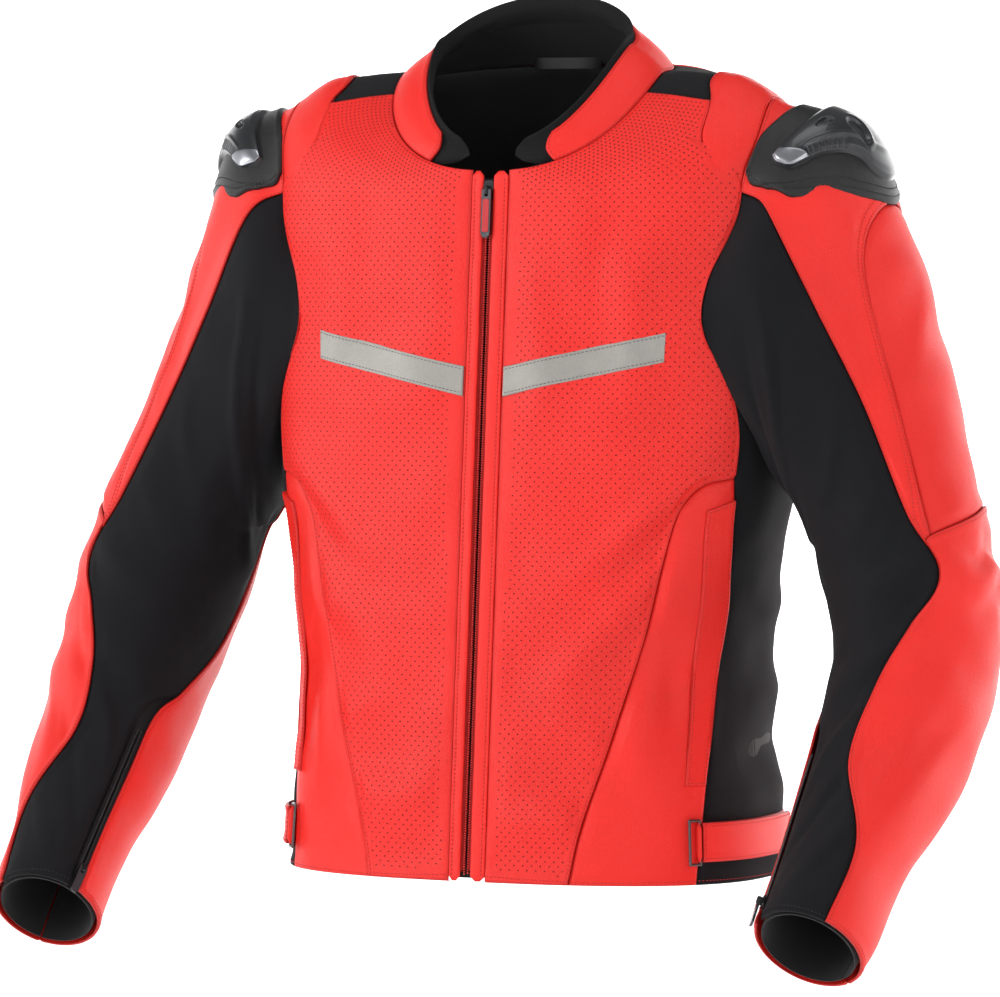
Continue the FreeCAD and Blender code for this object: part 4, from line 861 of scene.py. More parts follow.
def fabric(name, colour, roughness=0.85, threads=900.0, sheen=0.03, mottle=0.3, depth=0.00012, metallic=0.0):
    material, tree, shader = new_material(name, colour, roughness, metallic)
    finish = add_node(tree, "ShaderNodeGroup", node_tree=fabric_group)
    for label, value in (("Colour", (*colour, 1)), ("Thread Scale", threads), ("Mottle", mottle)):
        finish.inputs[label].default_value = value
    tree.links.new(finish.outputs["Colour"], shader.inputs["Base Color"])
    shader.inputs["Sheen Weight"].default_value = sheen
    shader.inputs["Specular IOR Level"].default_value = 0.2
    shader.inputs["Sheen Roughness"].default_value = 0.5
    bump_from(tree, shader, finish.outputs["Height"], depth)
    return material


black_stretch = fabric("black_stretch_fabric", (0.0065, 0.0068, 0.0085))
neoprene = fabric("collar_neoprene", (0.008, 0.008, 0.009), 0.8, 1400.0)
lining_mesh = fabric("lining_mesh", (0.010, 0.010, 0.011), 0.75, 600.0, 0.15)
zip_tape_red = fabric("zip_tape_red", (0.40, 0.014, 0.012), 0.8, 1500.0)
zip_tape_black = fabric("zip_tape_black", (0.008, 0.008, 0.009), 0.8, 1500.0)
reflective_cloth = fabric("reflective_cloth", (0.36, 0.345, 0.32), 0.45, 2600.0, 0.0, 0.22, 0.00003, 0.35)
print("fabric group has", len(fabric_group.nodes), "nodes")

# %% Hard and small finishes


def plain_finish(name, colour, roughness, metallic=0.0, coat=0.0, speckle=0.12, scale=700.0, depth=0.00003):
    """Moulded plastic, lacquered metal or thread: one colour, broken up by a fine speckle."""
    material, tree, shader = new_material(name, colour, roughness, metallic)
    place = tree.nodes.new("ShaderNodeTexCoord").outputs["Object"]
    noise = add_node(
        tree, "ShaderNodeTexNoise", {"Scale": scale, "Detail": 3.0}, {"Vector": place}).outputs["Fac"]
    colour_in = tree.nodes.new("ShaderNodeRGB")
    colour_in.outputs[0].default_value = (*colour, 1)
    factor = math_node(tree, "ADD", math_node(tree, "MULTIPLY", noise, speckle * 2), 1.0 - speckle)
    tree.links.new(tinted(tree, colour_in.outputs[0], factor), shader.inputs["Base Color"])
    spread_rough = math_node(tree, "MULTIPLY", math_node(tree, "SUBTRACT", noise, 0.5), speckle)
    tree.links.new(math_node(tree, "ADD", spread_rough, roughness), shader.inputs["Roughness"])
    shader.inputs["Coat Weight"].default_value = coat
    shader.inputs["Coat Roughness"].default_value = 0.06
    bump_from(tree, shader, noise, depth)
    return material


armour_plastic = plain_finish("armour_plastic", (0.016, 0.017, 0.020), 0.34, 0.0, 0.3, 0.12, 500.0)
armour_insert = plain_finish("armour_metal_insert", (0.36, 0.37, 0.40), 0.3, 0.9, 0.3, 0.1, 300.0)
zip_lacquer = plain_finish("zip_lacquer", (0.02, 0.02, 0.023), 0.2, 0.7, 0.5, 0.1, 900.0)
zip_steel = plain_finish("puller_edge_metal", (0.09, 0.09, 0.10), 0.25, 0.9, 0.2, 0.1, 900.0)
coil_red = plain_finish("zip_coil_red", (0.66, 0.03, 0.025), 0.4, 0.0, 0.2)
coil_black = plain_finish("zip_coil_black", (0.02, 0.02, 0.022), 0.35, 0.0, 0.3)
grip_rubber = plain_finish("grip_rubber", (0.5, 0.014, 0.02), 0.5)
thread_red = plain_finish("thread_red", (0.50, 0.016, 0.012), 0.6, 0.0, 0.0, 0.2, 2500.0)
thread_black = plain_finish("thread_black", (0.016, 0.016, 0.017), 0.6, 0.0, 0.0, 0.2, 2500.0)
thread_grey = plain_finish("thread_grey", (0.10, 0.10, 0.10), 0.6, 0.0, 0.0, 0.2, 2500.0)
ring_steel = plain_finish("ring_steel", (0.12, 0.12, 0.125), 0.3, 1.0, 0.0, 0.1, 400.0)
# Painted shade: the holes are dark red discs that stand for the shaded inside of each perforation.
hole_painted_shade = plain_finish("hole_painted_shade", (0.10, 0.006, 0.005), 0.9, 0.0, 0.0, 0.2, 900.0)
print("materials", len(bpy.data.materials))

# %% [markdown]
# ## The body panels
# The front panel is perforated and carries the zip's folded edge. A plain lower panel
# meets it in the curved seam that runs down to the hem, stretch fabric fills the side, and
# a plain panel caps the shoulder. Each seam has one folded, stitched edge on top and one
# edge tucked under it, as a sewing machine leaves it.

# %% Front panels
PLACKET_LEFT, PLACKET_RIGHT, ZIP_SLOT = 13.0, 10.0, 9.0
FRONT_FOLDS = [           # height, width, line on the flat hide (across, up)
    (2.2, 13, [(190, 330), (150, 300), (110, 262), (70, 235)]),
    (-1.6, 12, [(195, 305), (150, 270), (115, 232)]),
    (1.6, 15, [(175, 255), (130, 215), (95, 180), (60, 150)]),
    (1.8, 12, [(120, 40), (90, 52), (50, 48), (20, 60)]),
    (-1.2, 11, [(110, 70), (75, 80), (35, 78)]),
    (1.6, 16, [(150, 520), (130, 470), (125, 420), (135, 370)]),
    (-1.3, 14, [(110, 540), (98, 490), (100, 440)]),
    (1.3, 20, [(40, 500), (50, 420), (45, 350)]),
    (-1.4, 11, [(200, 280), (160, 238), (125, 200)]),
    (1.2, 9, [(205, 240), (175, 215), (150, 190)]),
    (1.3, 10, [(60, 130), (100, 118), (130, 100)]),
]


def front_panel(placket, lines):
    edge = front_edge(ZIP_SLOT / 2 + placket)
    neck = curve(edge([1.0])[0], [-62.0, 1.0], [-36.0, 1.0], NECK_FRONT_CORNER)
    top = pieced((0.6, neck), (1.0, backwards(insert_front)))
    hem = curve(edge([0.0])[0], spot(0.246, HEM_Z), spot(0.429, HEM_Z))
    return make_panel("body", (hem, outer_front, top, edge), ("hem", "fold", "roll", "tuck"), lines=lines,
        cell=3.6)


def other_side(lines, shift):
    """The same kind of folds on the other side, moved a little so that the halves differ."""
    return [(rise * 0.9, width * 1.1, [(x + shift * 0.5, y + shift) for x, y in line])
            for rise, width, line in lines]


front_left = front_panel(PLACKET_LEFT, FRONT_FOLDS)
front_right = mirror_panel(front_panel(PLACKET_RIGHT, other_side(FRONT_FOLDS, 16)))
panels = {}


def sew(name, panel, material, node=None, body="root"):
    piece = sew_panel(name, panel, material, body)
    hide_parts(*(node or [name.replace("_skin", "")]))
    panels[name] = (piece, panel)
    return piece


def sew_pair(name, panel, material, other=None):
    sew(name + "_left_skin", panel, material)
    sew(name + "_right_skin", mirror_panel(other or panel), material)


sew("front_panel_left_skin", front_left, red_perforated)
sew("front_panel_right_skin", front_right, red_perforated)
print("front panel points", front_left["points"].shape)

# %% Lower front, shoulder, inserts and sides
lower_hem = curve(spot(0.429, HEM_Z), spot(0.665, HEM_Z), spot(0.877, HEM_Z))
LOWER_FOLDS = [(1.5, 14, [(150, 60), (140, 110), (150, 170)]),
    (-1.1, 12, [(175, 90), (165, 150), (170, 210)]),
               (1.2, 15, [(150, 210), (165, 250), (175, 290)])]
lower_front = make_panel(
    "body", (lower_hem, side_seam, pocket_top, panel_seam), ("hem", "roll", "tuck", "tuck"),
    lines=LOWER_FOLDS)
sew_pair("lower_front_panel", lower_front, red_leather)

SHOULDER_FOLDS = [(1.2, 12, [(190, 640), (170, 610), (150, 590)])]
shoulder = make_panel(
    "body", (along(armhole, APEX, BACK_TOP - 1), backwards(back_shoulder_seam), insert_outer,
        backwards(shoulder_seam)),
    ("roll", "fold", "fold", "tuck"), lines=SHOULDER_FOLDS)
sew_pair("shoulder_panel", shoulder, red_leather)

neck_seam = curve(NECK_FRONT_CORNER, [10.0, 1.0], NECK_BACK_CORNER)
insert = make_panel("body", (insert_outer, insert_back, neck_seam, insert_front),
    ("tuck", "tuck", "roll", "tuck"))
sew("shoulder_insert_left_skin", insert, black_stretch, ["shoulder_stretch_inserts"])
sew("shoulder_insert_right_skin", mirror_panel(insert), black_stretch,
    ["shoulder_stretch_inserts"])

side_hem = curve(spot(0.877, HEM_Z), [0.0, 0.0], spot(0.837, HEM_Z, False))
front_side = pieced((0.75, side_seam), (1.0, upper_side_seam))
SIDE_FOLDS = [(2.0, 14, [(230, 60), (300, 75), (380, 60)]), (-1.8, 12, [(230, 95), (300, 110), (370, 100)]),
              (1.8, 14, [(240, 140), (300, 150), (380, 150)]),
              (1.6, 15, [(230, 230), (300, 215), (390, 240)])]
side = make_panel(
    "body", (side_hem, back_side_seam, along(armhole, SIDE_TOP, SIDE_BACK), front_side),
    ("hem", "tuck", "roll", "tuck"), lines=SIDE_FOLDS)
sew_pair("side_stretch_panel", side, black_stretch)
print("pieces so far", len(panels))

# %% Back panels
YOKE_Z, RIB_TOP_Z, RIB_BOTTOM_Z = back_high(0.556), low(0.704), low(0.424)


def across_back(z, share):
    points = [spot(share * k / 3, z, False) for k in (3, 2, 1)]
    right_half = [[180 - a, v] for a, v in points]
    return curve(*right_half, [90.0, level_where(90.0, z)], *reversed(points))


def share_of(point):
    return math.cos(math.radians(point[0])) ** (2 / SQUARE)


def seam_share(seam, z, bottom=0.0, top=1.0):
    """Share of the way along a rising seam where it reaches height z."""
    return place_at_height(lambda t: body_at(*seam([t])[0]), z, bottom, top)


def back_piece(bottom_z, top_z, edges, lines=()):
    side_line = along(back_side_seam, seam_share(back_side_seam, bottom_z), seam_share(back_side_seam, top_z))
    bottom = across_back(bottom_z, share_of(side_line([0])[0]))
    top = across_back(top_z, share_of(side_line([1])[0]))
    return make_panel("body", (bottom, side_line, top, mirrored_seam(side_line)), edges, lines=lines)


sew("lower_back_panel_skin", back_piece(HEM_Z, RIB_BOTTOM_Z, ("hem", "fold", "fold", "fold")), red_leather)
yoke_turn = seam_share(armhole, YOKE_Z, SIDE_BACK, BACK_TOP)
back_start = seam_share(back_side_seam, RIB_TOP_Z)
main_side = pieced((0.55, along(back_side_seam, back_start, 1.0)),
    (1.0, along(armhole, SIDE_BACK, yoke_turn)))
main_bottom = across_back(RIB_TOP_Z, share_of(main_side([0])[0]))
yoke_line = across_back(YOKE_Z, share_of(main_side([1])[0]))
BACK_FOLDS = [(1.8, 20, [(560, 330), (500, 300), (440, 300)]),
    (1.8, 20, [(300, 330), (360, 300), (420, 300)])]
main_back = make_panel(
    "body", (main_bottom, main_side, yoke_line, mirrored_seam(main_side)), ("fold", "fold", "tuck", "fold"),
    lines=BACK_FOLDS)
sew("back_panel_skin", main_back, red_perforated)

yoke_side = pieced((0.45, along(armhole, yoke_turn, BACK_TOP)), (1.0, backwards(back_shoulder_seam)))
half_neck = pieced((0.4, insert_back), (1.0, curve(NECK_BACK_CORNER, [60.0, 1.0], [90.0, 1.0])))


def neck_line_back(t):
    t = np.asarray(t, float).ravel()[:, None]
    return np.where(t < 0.5, mirrored_seam(half_neck)(t * 2), half_neck(2 - t * 2))


sew("back_yoke_skin", make_panel(
    "body", (yoke_line, yoke_side, neck_line_back, mirrored_seam(yoke_side)),
    ("fold", "tuck", "roll", "tuck")),
    red_leather)

# %% [markdown]
# The band across the small of the back is pleated so that it stretches when the rider
# leans forward. Its pleats are level ridges about 12 mm apart.

# %% Pleated band
pleats = back_piece(RIB_BOTTOM_Z, RIB_TOP_Z, ("tuck", "tuck", "tuck", "tuck"))
PLEAT_PITCH, PLEAT_HEIGHT, PLEAT_FADE = 12.0, 1.7, 8.0
rise_and_fall = np.cos(pleats["flat"][..., 1] / PLEAT_PITCH * 2 * np.pi)
rise_and_fall = rise_and_fall * np.clip(pleats["edge"] / PLEAT_FADE, 0, 1)
pleats["points"] = pleats["points"] + pleats["normals"] * (rise_and_fall * PLEAT_HEIGHT)[..., None]
sew("lumbar_stretch_panel_skin", pleats, black_leather)
print("pieces so far", len(panels))

# %% [markdown]
# ## The sleeves
# Five panels make a sleeve: stretch fabric along the inside of the arm, a plain panel
# behind it, and on the outside a plain upper panel, a perforated elbow panel and a plain
# forearm. The left sleeve is made and the right one is its mirror image. The folds gather
# in the crook of the elbow, where a bent arm pushes the cloth together.

# %% Sleeve seams
ZIP_TURN, ZIP_HALF_TURN = 143.0, 6.0
ZIP_UPPER, ZIP_LOWER = 0.77, 0.985
INNER_FORK, SLOT_START = 0.7, 0.755
BACK_TURN = -60.0
FRONT_TURNS = [360 * APEX, 61, 64, 65, 61, 51, 73, 89, 90, 57, 54]
INNER_TURNS = [205, 203, 200, 200, 198, 195, 185, 164]


def sleeve_seam(turns):
    return curve(*[[turn, k / 10] for k, turn in enumerate(turns)])


stretch_front = sleeve_seam(FRONT_TURNS)
inner_seam = sleeve_seam(INNER_TURNS)


def inner_edge(turn):
    """The shared inner seam, then its own edge of the slot for the cuff zip."""
    lower = curve(list(inner_seam([1.0])[0]), [turn, SLOT_START], [turn, mix(SLOT_START, 1.0, 0.5)],
        [turn, 1.0])
    return pieced((INNER_FORK, inner_seam), (1.0, lower))


stretch_inner = inner_edge(ZIP_TURN - ZIP_HALF_TURN)
under_front = inner_edge(ZIP_TURN + ZIP_HALF_TURN)
under_back = straight([BACK_TURN + 360, 0], [BACK_TURN + 360, 1])
cuff_front, cuff_inner, cuff_under = FRONT_TURNS[-1], ZIP_TURN - ZIP_HALF_TURN, ZIP_TURN + ZIP_HALF_TURN
elbow_edge = curve(
    [BACK_TURN, 0.175], [-22, 0.165], [12, 0.167], [33, 0.195], [43, 0.27], [48, 0.36], [50, 0.435])
elbow_point = list(stretch_front([0.45])[0])
forearm_top = curve([BACK_TURN, 0.425], [-25, 0.412], [12, 0.422], [50, 0.435], elbow_point)
upper_outside = pieced(
    (0.5, straight([BACK_TURN, 0.0], [FRONT_TURNS[0], 0.0])), (1.0, along(stretch_front, 0.0, 0.45)))


def arm_fold(rise, width, *turns):
    """A fold on the sleeve, through points given as degrees round it and share of its length."""
    points = np.array(turns, float)
    return (rise, width, sleeve_flat(points[:, 0], points[:, 1]).tolist())


ARM_FOLDS = [
    arm_fold(2.6, 9, (60, 0.50), (100, 0.52), (150, 0.50)),
    arm_fold(-2.6, 8, (62, 0.535), (105, 0.555), (160, 0.535)),
    arm_fold(2.4, 9, (70, 0.575), (110, 0.59), (165, 0.57)),
    arm_fold(-2.2, 8, (72, 0.61), (115, 0.62), (165, 0.6)),
    arm_fold(1.8, 10, (75, 0.65), (115, 0.66), (160, 0.64)),
    arm_fold(1.6, 12, (70, 0.42), (110, 0.45), (170, 0.43)),
    arm_fold(-1.6, 11, (72, 0.455), (115, 0.482), (170, 0.465)),
    arm_fold(1.7, 13, (80, 0.1), (110, 0.2), (150, 0.26)),
    arm_fold(-1.5, 12, (95, 0.08), (130, 0.16), (170, 0.2)),
    arm_fold(1.4, 14, (75, 0.28), (110, 0.33), (160, 0.33)),
    arm_fold(1.3, 12, (90, 0.74), (115, 0.78), (130, 0.86)),
    arm_fold(-1.2, 11, (75, 0.8), (100, 0.85), (120, 0.93)),
    arm_fold(1.7, 13, (40, 0.40), (10, 0.43), (-30, 0.42)),
    arm_fold(-1.6, 10, (42, 0.45), (10, 0.47), (-40, 0.46)),
    arm_fold(1.8, 12, (60, 0.5), (20, 0.51), (-40, 0.5)),
    arm_fold(-1.4, 11, (62, 0.55), (20, 0.545), (-30, 0.54)),
    arm_fold(1.5, 14, (60, 0.6), (30, 0.61), (-20, 0.6)),
    arm_fold(1.6, 15, (50, 0.06), (40, 0.14), (30, 0.2)),
    arm_fold(-1.4, 13, (58, 0.12), (50, 0.22), (56, 0.32)),
    arm_fold(1.4, 16, (20, 0.7), (30, 0.8), (20, 0.9)),
    arm_fold(1.2, 13, (50, 0.72), (55, 0.8), (40, 0.88)), arm_fold(1.3, 15, (-30, 0.2), (0, 0.25), (30, 0.3)),
    arm_fold(1.5, 8, (66, 0.645), (95, 0.675), (130, 0.68)),
    arm_fold(-1.4, 7, (70, 0.69), (98, 0.715), (125, 0.72)),
    arm_fold(1.4, 7, (75, 0.38), (105, 0.40), (140, 0.385)),
    arm_fold(1.0, 8, (70, 0.9), (90, 0.93), (110, 0.955)),
    arm_fold(1.2, 8, (52, 0.66), (40, 0.69), (10, 0.69)),
    arm_fold(-1.2, 8, (60, 0.62), (40, 0.64), (0, 0.64)),
]
stretch_seams = (
    straight([cuff_inner, 1.0], [cuff_front, 1.0]), backwards(stretch_front),
    straight([INNER_TURNS[0], 0.0], [FRONT_TURNS[0], 0.0]), backwards(stretch_inner))
under_seams = (
    straight([BACK_TURN + 360, 1.0], [cuff_under, 1.0]), backwards(under_front),
    straight([BACK_TURN + 360, 0.0], [INNER_TURNS[0], 0.0]), backwards(under_back))
elbow_seams = (
    along(forearm_top, 0.0, 0.75), backwards(along(elbow_edge, 0.5, 1.0)), along(elbow_edge, 0.0, 0.5),
    straight(forearm_top([0])[0], elbow_edge([0])[0]))
forearm_seams = (
    straight([BACK_TURN, 1.0], [cuff_front, 1.0]), backwards(along(stretch_front, 0.45, 1.0)), forearm_top,
    straight([BACK_TURN, 1.0], forearm_top([0])[0]))
upper_seams = (
    elbow_edge, along(forearm_top, 0.75, 1.0), upper_outside, straight(elbow_edge([0])[0], [BACK_TURN, 0.0]))
sleeve_panels = {
    "stretch": (stretch_seams, ("hem", "tuck", "roll", "tuck"), black_stretch, "black_stretch"),
    "under": (under_seams, ("hem", "fold", "roll", "roll"), red_leather, "red_leather"),
    "elbow": (elbow_seams, ("tuck", "tuck", "tuck", "tuck"), red_perforated, "red_perforated"),
    "forearm": (forearm_seams, ("hem", "fold", "fold", "roll"), red_leather, "red_leather"),
    "upper": (upper_seams, ("fold", "tuck", "fold", "roll"), red_leather, "red_leather"),
}
for kind, (seams, edges, material, slot) in sleeve_panels.items():
    sew_pair("sleeve_%s_panel" % kind, make_panel("sleeve", seams, edges, lines=ARM_FOLDS), material)
print("pieces so far", len(panels))

# %% [markdown]
# ## The collar
# A stiff strip of red leather stands on the neck seam. Inside it a padded neoprene lining
# rises a little higher and shows as a dark rolled edge. Both are strips of the collar
# surface; the leather's front corners are cut round.

# %% Collar
SHELL_END, LINING_END = 43.0, 18.0


def collar_strip(end_x, low_edge, high_edge, edges, corner=0.0, **more):
    start, stop = end_angle(end_x), 180 - end_angle(end_x)
    level = np.linspace(0, 1, 7)
    ends = [[start + corner * h ** 4, mix(low_edge, high_edge, h)] for h in level]
    left_end = curve(*ends)
    seams = (straight([start, low_edge], [stop, low_edge]), mirrored_seam(left_end),
             straight(ends[-1], [180 - ends[-1][0], high_edge]), left_end)
    return make_panel("collar", seams, edges, cell=3.5, **more)


shell = collar_strip(SHELL_END, 0.0, 0.97, ("roll", "hem", "hem", "hem"), 9.0, uneven=0.6, thickness=1.8)
sew("collar_shell_skin", shell, red_leather)

# %% Collar lining, a padded piece
def padded_strip():
    """Front, rolled top edge and back of the lining as one continuous skin with soft quilting."""
    start, stop = end_angle(LINING_END), 180 - end_angle(LINING_END)
    angles = np.linspace(start, stop, 150)
    outline = [(h, -2.4) for h in (0.0, 0.3, 0.6, 0.9)]
    outline += [(1.06, -1.2), (1.13, -0.6), (1.17, -2.2), (1.18, -4.4), (1.15, -6.6), (1.08, -7.8),
        (1.0, -8.0)]
    outline += [(0.86, -8.2), (0.78, -7.0), (0.76, -6.2), (0.74, -7.0), (0.64, -8.3)]
    outline += [(h, -8.2) for h in (0.5, 0.36, 0.22, 0.1, 0.0)]
    rows = []
    for h, depth in outline:
        skin = collar_at(angles, min(h, 1.0)) + collar_normal(angles, min(h, 1.0)) * depth
        skin[:, 2] += max(h - 1.0, 0.0) * 48
        rows.append(skin)
    net = np.stack(rows)
    ends = np.clip(np.minimum(angles - start, stop - angles) / 9.0, 0, 1)[None, :, None]
    centre = (net.min(axis=0) + net.max(axis=0)) / 2
    return mix(centre, net, ends ** 0.5 * 0.97 + 0.03)


net = padded_strip()
rows, columns = net.shape[:2]
k = np.arange(rows * columns).reshape(rows, columns)
wrap = np.stack([k, np.roll(k, -1, axis=0)])
quads = np.stack(
    [wrap[0][:, :-1], wrap[0][:, 1:], wrap[1][:, 1:], wrap[1][:, :-1]], -1).reshape(-1, 4)[:, ::-1]
caps = [list(k[:, 0]), list(k[::-1, -1])]
mesh = bpy.data.meshes.new("collar_pad")
mesh.from_pydata((net.reshape(-1, 3) * MM).tolist(), [],
    quads.tolist() + [[int(i) for i in cap] for cap in caps])
mesh.polygons.foreach_set("use_smooth", [True] * len(mesh.polygons))
mesh.materials.append(neoprene)
collar_pad = bpy.data.objects.new("collar_pad", mesh)
bpy.context.scene.collection.objects.link(collar_pad)
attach(collar_pad, "root")
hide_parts("collar_lining")
print("collar pad points", rows * columns)

# %% [markdown]
# ## The front closure
# The zip lies on a straight line from the hem to the neck. Two folded strips of leather
# cover its tapes, and a flap behind it keeps the wind out. The hard slider and puller are
# the frame's own parts and only need their finish; the toothed coils are made below.

# %% Straight strips
front_foot = np.array([0, AXIS_Y - FRONT_HEM_DEPTH, HEM_Z])
front_head = np.array([0, AXIS_Y - FRONT_NECK_DEPTH, NECK_FRONT_Z])
cuff_spots = np.array([[ZIP_TURN, ZIP_LOWER], [ZIP_TURN, ZIP_UPPER]])
cuff_line = sleeve_at(*cuff_spots.T) + sleeve_normal(*cuff_spots.T) * 0.4
cuff_out = sleeve_normal(np.array(ZIP_TURN), np.array((ZIP_LOWER + ZIP_UPPER) / 2))


def zip_frame(foot, head, out):
    """Origin and the directions across, inward and along, as the columns of a matrix."""
    along_zip = unit(head - foot)
    inward = -unit(out - along_zip * (out @ along_zip))
    return foot, np.stack([np.cross(inward, along_zip), inward, along_zip]), np.linalg.norm(head - foot)


front_zip = zip_frame(front_foot, front_head, np.array([0.0, -1, 0]))
cuff_zip = zip_frame(cuff_line[0], cuff_line[1], cuff_out)


def in_zip(zip_place, points):
    return zip_place[0] + np.asarray(points, float) @ zip_place[1]


def strip(name, zip_place, outline, start, stop, material, wave=0.0, step=4.0, mirror=False):
    """A long strip: a closed outline (across, inward) carried along the zip, with capped ends."""
    count = max(int((stop - start) / step), 2)
    outline = np.array(outline, float)
    places = np.linspace(start, stop, count + 1)
    rounded_ends = np.clip(np.minimum(places - start, stop - places) / 1.2, 0.35, 1.0)
    middle = outline.mean(axis=0)
    net = []
    for place, size in zip(places, rounded_ends):
        ripple = wave * (math.sin(place / 13.0) + 0.6 * math.sin(place / 5.3 + 1.0)) * 0.5
        section = middle + (outline - middle) * size
        net.append(np.column_stack([section[:, 0], section[:, 1] + ripple, np.full(len(section), place)]))
    points = in_zip(zip_place, np.concatenate(net))
    if mirror:
        points = points * [-1, 1, 1]
    n = len(outline)
    k = np.arange((count + 1) * n).reshape(count + 1, n)
    quads = np.stack([k[:-1], np.roll(k, -1, 1)[:-1], np.roll(k, -1, 1)[1:], k[1:]], -1).reshape(-1, 4)
    mesh = bpy.data.meshes.new(name)
    faces = quads.tolist() + [k[0, ::-1].tolist(), k[-1].tolist()]
    if mirror:
        faces = [face[::-1] for face in faces]
    mesh.from_pydata((points * MM).tolist(), [], faces)
    mesh.polygons.foreach_set("use_smooth", [True] * len(mesh.polygons))
    mesh.materials.append(material)
    piece = bpy.data.objects.new(name, mesh)
    bpy.context.scene.collection.objects.link(piece)
    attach(piece, "root")
    add_layers(mesh, np.tile(outline[:, :1], (count + 1, 2)), np.full((count + 1) * n, 9.0))
    return piece


def folded_edge(inner, outer):
    """Cross-section of leather folded over the zip's edge: plump at the fold, stitched flat outside."""
    s = math.copysign(1, outer - inner)
    inner, outer = abs(inner), abs(outer)
    upper = [(inner, 0.9), (inner + 0.25, 0.1), (inner + 1.0, -0.55), (inner + 2.4, -0.75),
        (inner + 4.6, -0.55)]
    upper += [(outer - 3.0, -0.45), (outer - 2.2, -0.15), (outer - 1.4, -0.5), (outer - 0.5, -0.35),
        (outer, 0.3)]
    lower = [(outer, 1.7), (outer - 1.0, 2.0), (inner + 1.0, 2.0), (inner + 0.2, 1.6)]
    section = [(s * x, y) for x, y in upper + lower]
    return section if s < 0 else section[::-1]


placket_left = strip("placket_left_fold", front_zip,
    folded_edge(ZIP_SLOT / 2, ZIP_SLOT / 2 + PLACKET_LEFT - 0.3),
                     0.5, front_zip[2] - 0.5, red_leather, 0.35)
placket_right = strip("placket_right_fold", front_zip,
    folded_edge(-ZIP_SLOT / 2, -ZIP_SLOT / 2 - PLACKET_RIGHT + 0.3),
                      0.5, front_zip[2] - 0.5, red_leather, 0.35)
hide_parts("front_placket_left")
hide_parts("front_placket_right")
flap_section = [(-24, 6.6), (-10, 6.3), (0, 6.2), (10, 6.3), (16, 6.6), (16, 8.0), (0, 7.8), (-24, 8.0)]
wind_flap = strip("wind_flap_cloth", front_zip, flap_section[::-1], 3, front_zip[2] - 6, neoprene,
    0.5)
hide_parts("wind_flap")
print("zip length", round(front_zip[2], 1), "cuff zip", round(cuff_zip[2], 1))

# %% [markdown]
# Each zip is two strips of woven tape with a row of teeth along each edge. The tapes are
# carried along the zip's line here; the teeth are set in a row by the nodes further on.

# %% Zip tapes
TAPE_WIDTH, TAPE, COIL_GAP = 15.0, 0.7, 1.4
CHAIN_DEPTH = 2.0 + 0.3 + TAPE / 2
CHAIN_LOW, CHAIN_HIGH = 6.0, front_zip[2] - 8.0
CUFF_CHAIN_DEPTH, CUFF_TAPE_WIDTH = 1.2, 3.6


def tape(name, zip_place, side, width, depth, start, stop, material, mirror=False):
    inner, outer = side * (COIL_GAP / 2 + 1.2), side * (COIL_GAP / 2 + width)
    section = [(inner, depth - TAPE / 2), (outer, depth - TAPE / 2), (outer, depth + TAPE / 2),
        (inner, depth + TAPE / 2)]
    section = section if side > 0 else section[::-1]
    return strip(name, zip_place, section, start, stop, material, mirror=mirror)


for side, word in ((1, "left"), (-1, "right")):
    band_of_tape = tape("front_zip_tape_" + word, front_zip, side, TAPE_WIDTH, CHAIN_DEPTH, CHAIN_LOW,
        CHAIN_HIGH,
                        zip_tape_red)
    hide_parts("front_zip_half_" + word)
for mirror, arm in ((False, "left"), (True, "right")):
    for side, word in ((1, "a"), (-1, "b")):
        band_of_tape = tape("cuff_zip_tape_%s_%s" % (word, arm), cuff_zip, side, CUFF_TAPE_WIDTH,
            CUFF_CHAIN_DEPTH,
                            1.0, cuff_zip[2] - 1, zip_tape_black, mirror)
        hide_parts("cuff_zip_halves_" + arm)
print("chain", round(CHAIN_LOW), "to", round(CHAIN_HIGH), "mm")

# %% [markdown]
# The hard zip parts and the waist rings are exact already, so they keep their shape from
# the frame and only get their finish: gloss black lacquer, a steel rim, smooth rubber.

# %% Finishes of the hard parts
def refinish(node, material):
    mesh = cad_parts[node].data
    mesh.materials.clear()
    mesh.materials.append(material)


refinish("front_zip_slider", zip_lacquer)
refinish("front_zip_puller", zip_steel)
refinish("front_zip_puller_grip", grip_rubber)
refinish("waist_rings", ring_steel)
for arm in ("left", "right"):
    refinish("cuff_zip_slider_" + arm, zip_lacquer)
    refinish("cuff_zip_puller_" + arm, zip_steel)

# %% [markdown]
# ## Shoulder armour
# A padded base of black leather is sewn over the shoulder, and a hard moulded shell sits
# on it. The base is a puffed panel with a sunk border. The shell is a fine grid whose
# height is worked out from place: a crown, a bright facet at the front tip, a crease
# with vents above it, and two scoops.

# %% Armour base, a padded piece
base_low = curve(
    [51, 0.059], [51, 0.098], [48, 0.114], [43.5, 0.124], [37.5, 0.133], [28, 0.145], [18, 0.156], [1, 0.165],
    [-18, 0.158], [-38, 0.125], [-52, 0.075], [-60, 0.03])
base_front = curve([51, 0.059], [45.5, 0.019], [37, 0.002])
base_high = curve(
    [37, 0.002], [29, 0.001], [20, 0.003], [10, 0.018], [-2, 0.03], [-16, 0.028], [-34, 0.014], [-58, 0.004])
armour_base = make_panel(
    "sleeve", (backwards(base_low), base_front, backwards(base_high),
               straight(list(base_low([1])[0]), list(base_high([1])[0]))),
    ("pad", "pad", "pad", "pad"), lift=3.6, cell=2.2, puff=1.2, uneven=0.3, thickness=3.4)
sew_pair("shoulder_armour_base", armour_base, black_leather)

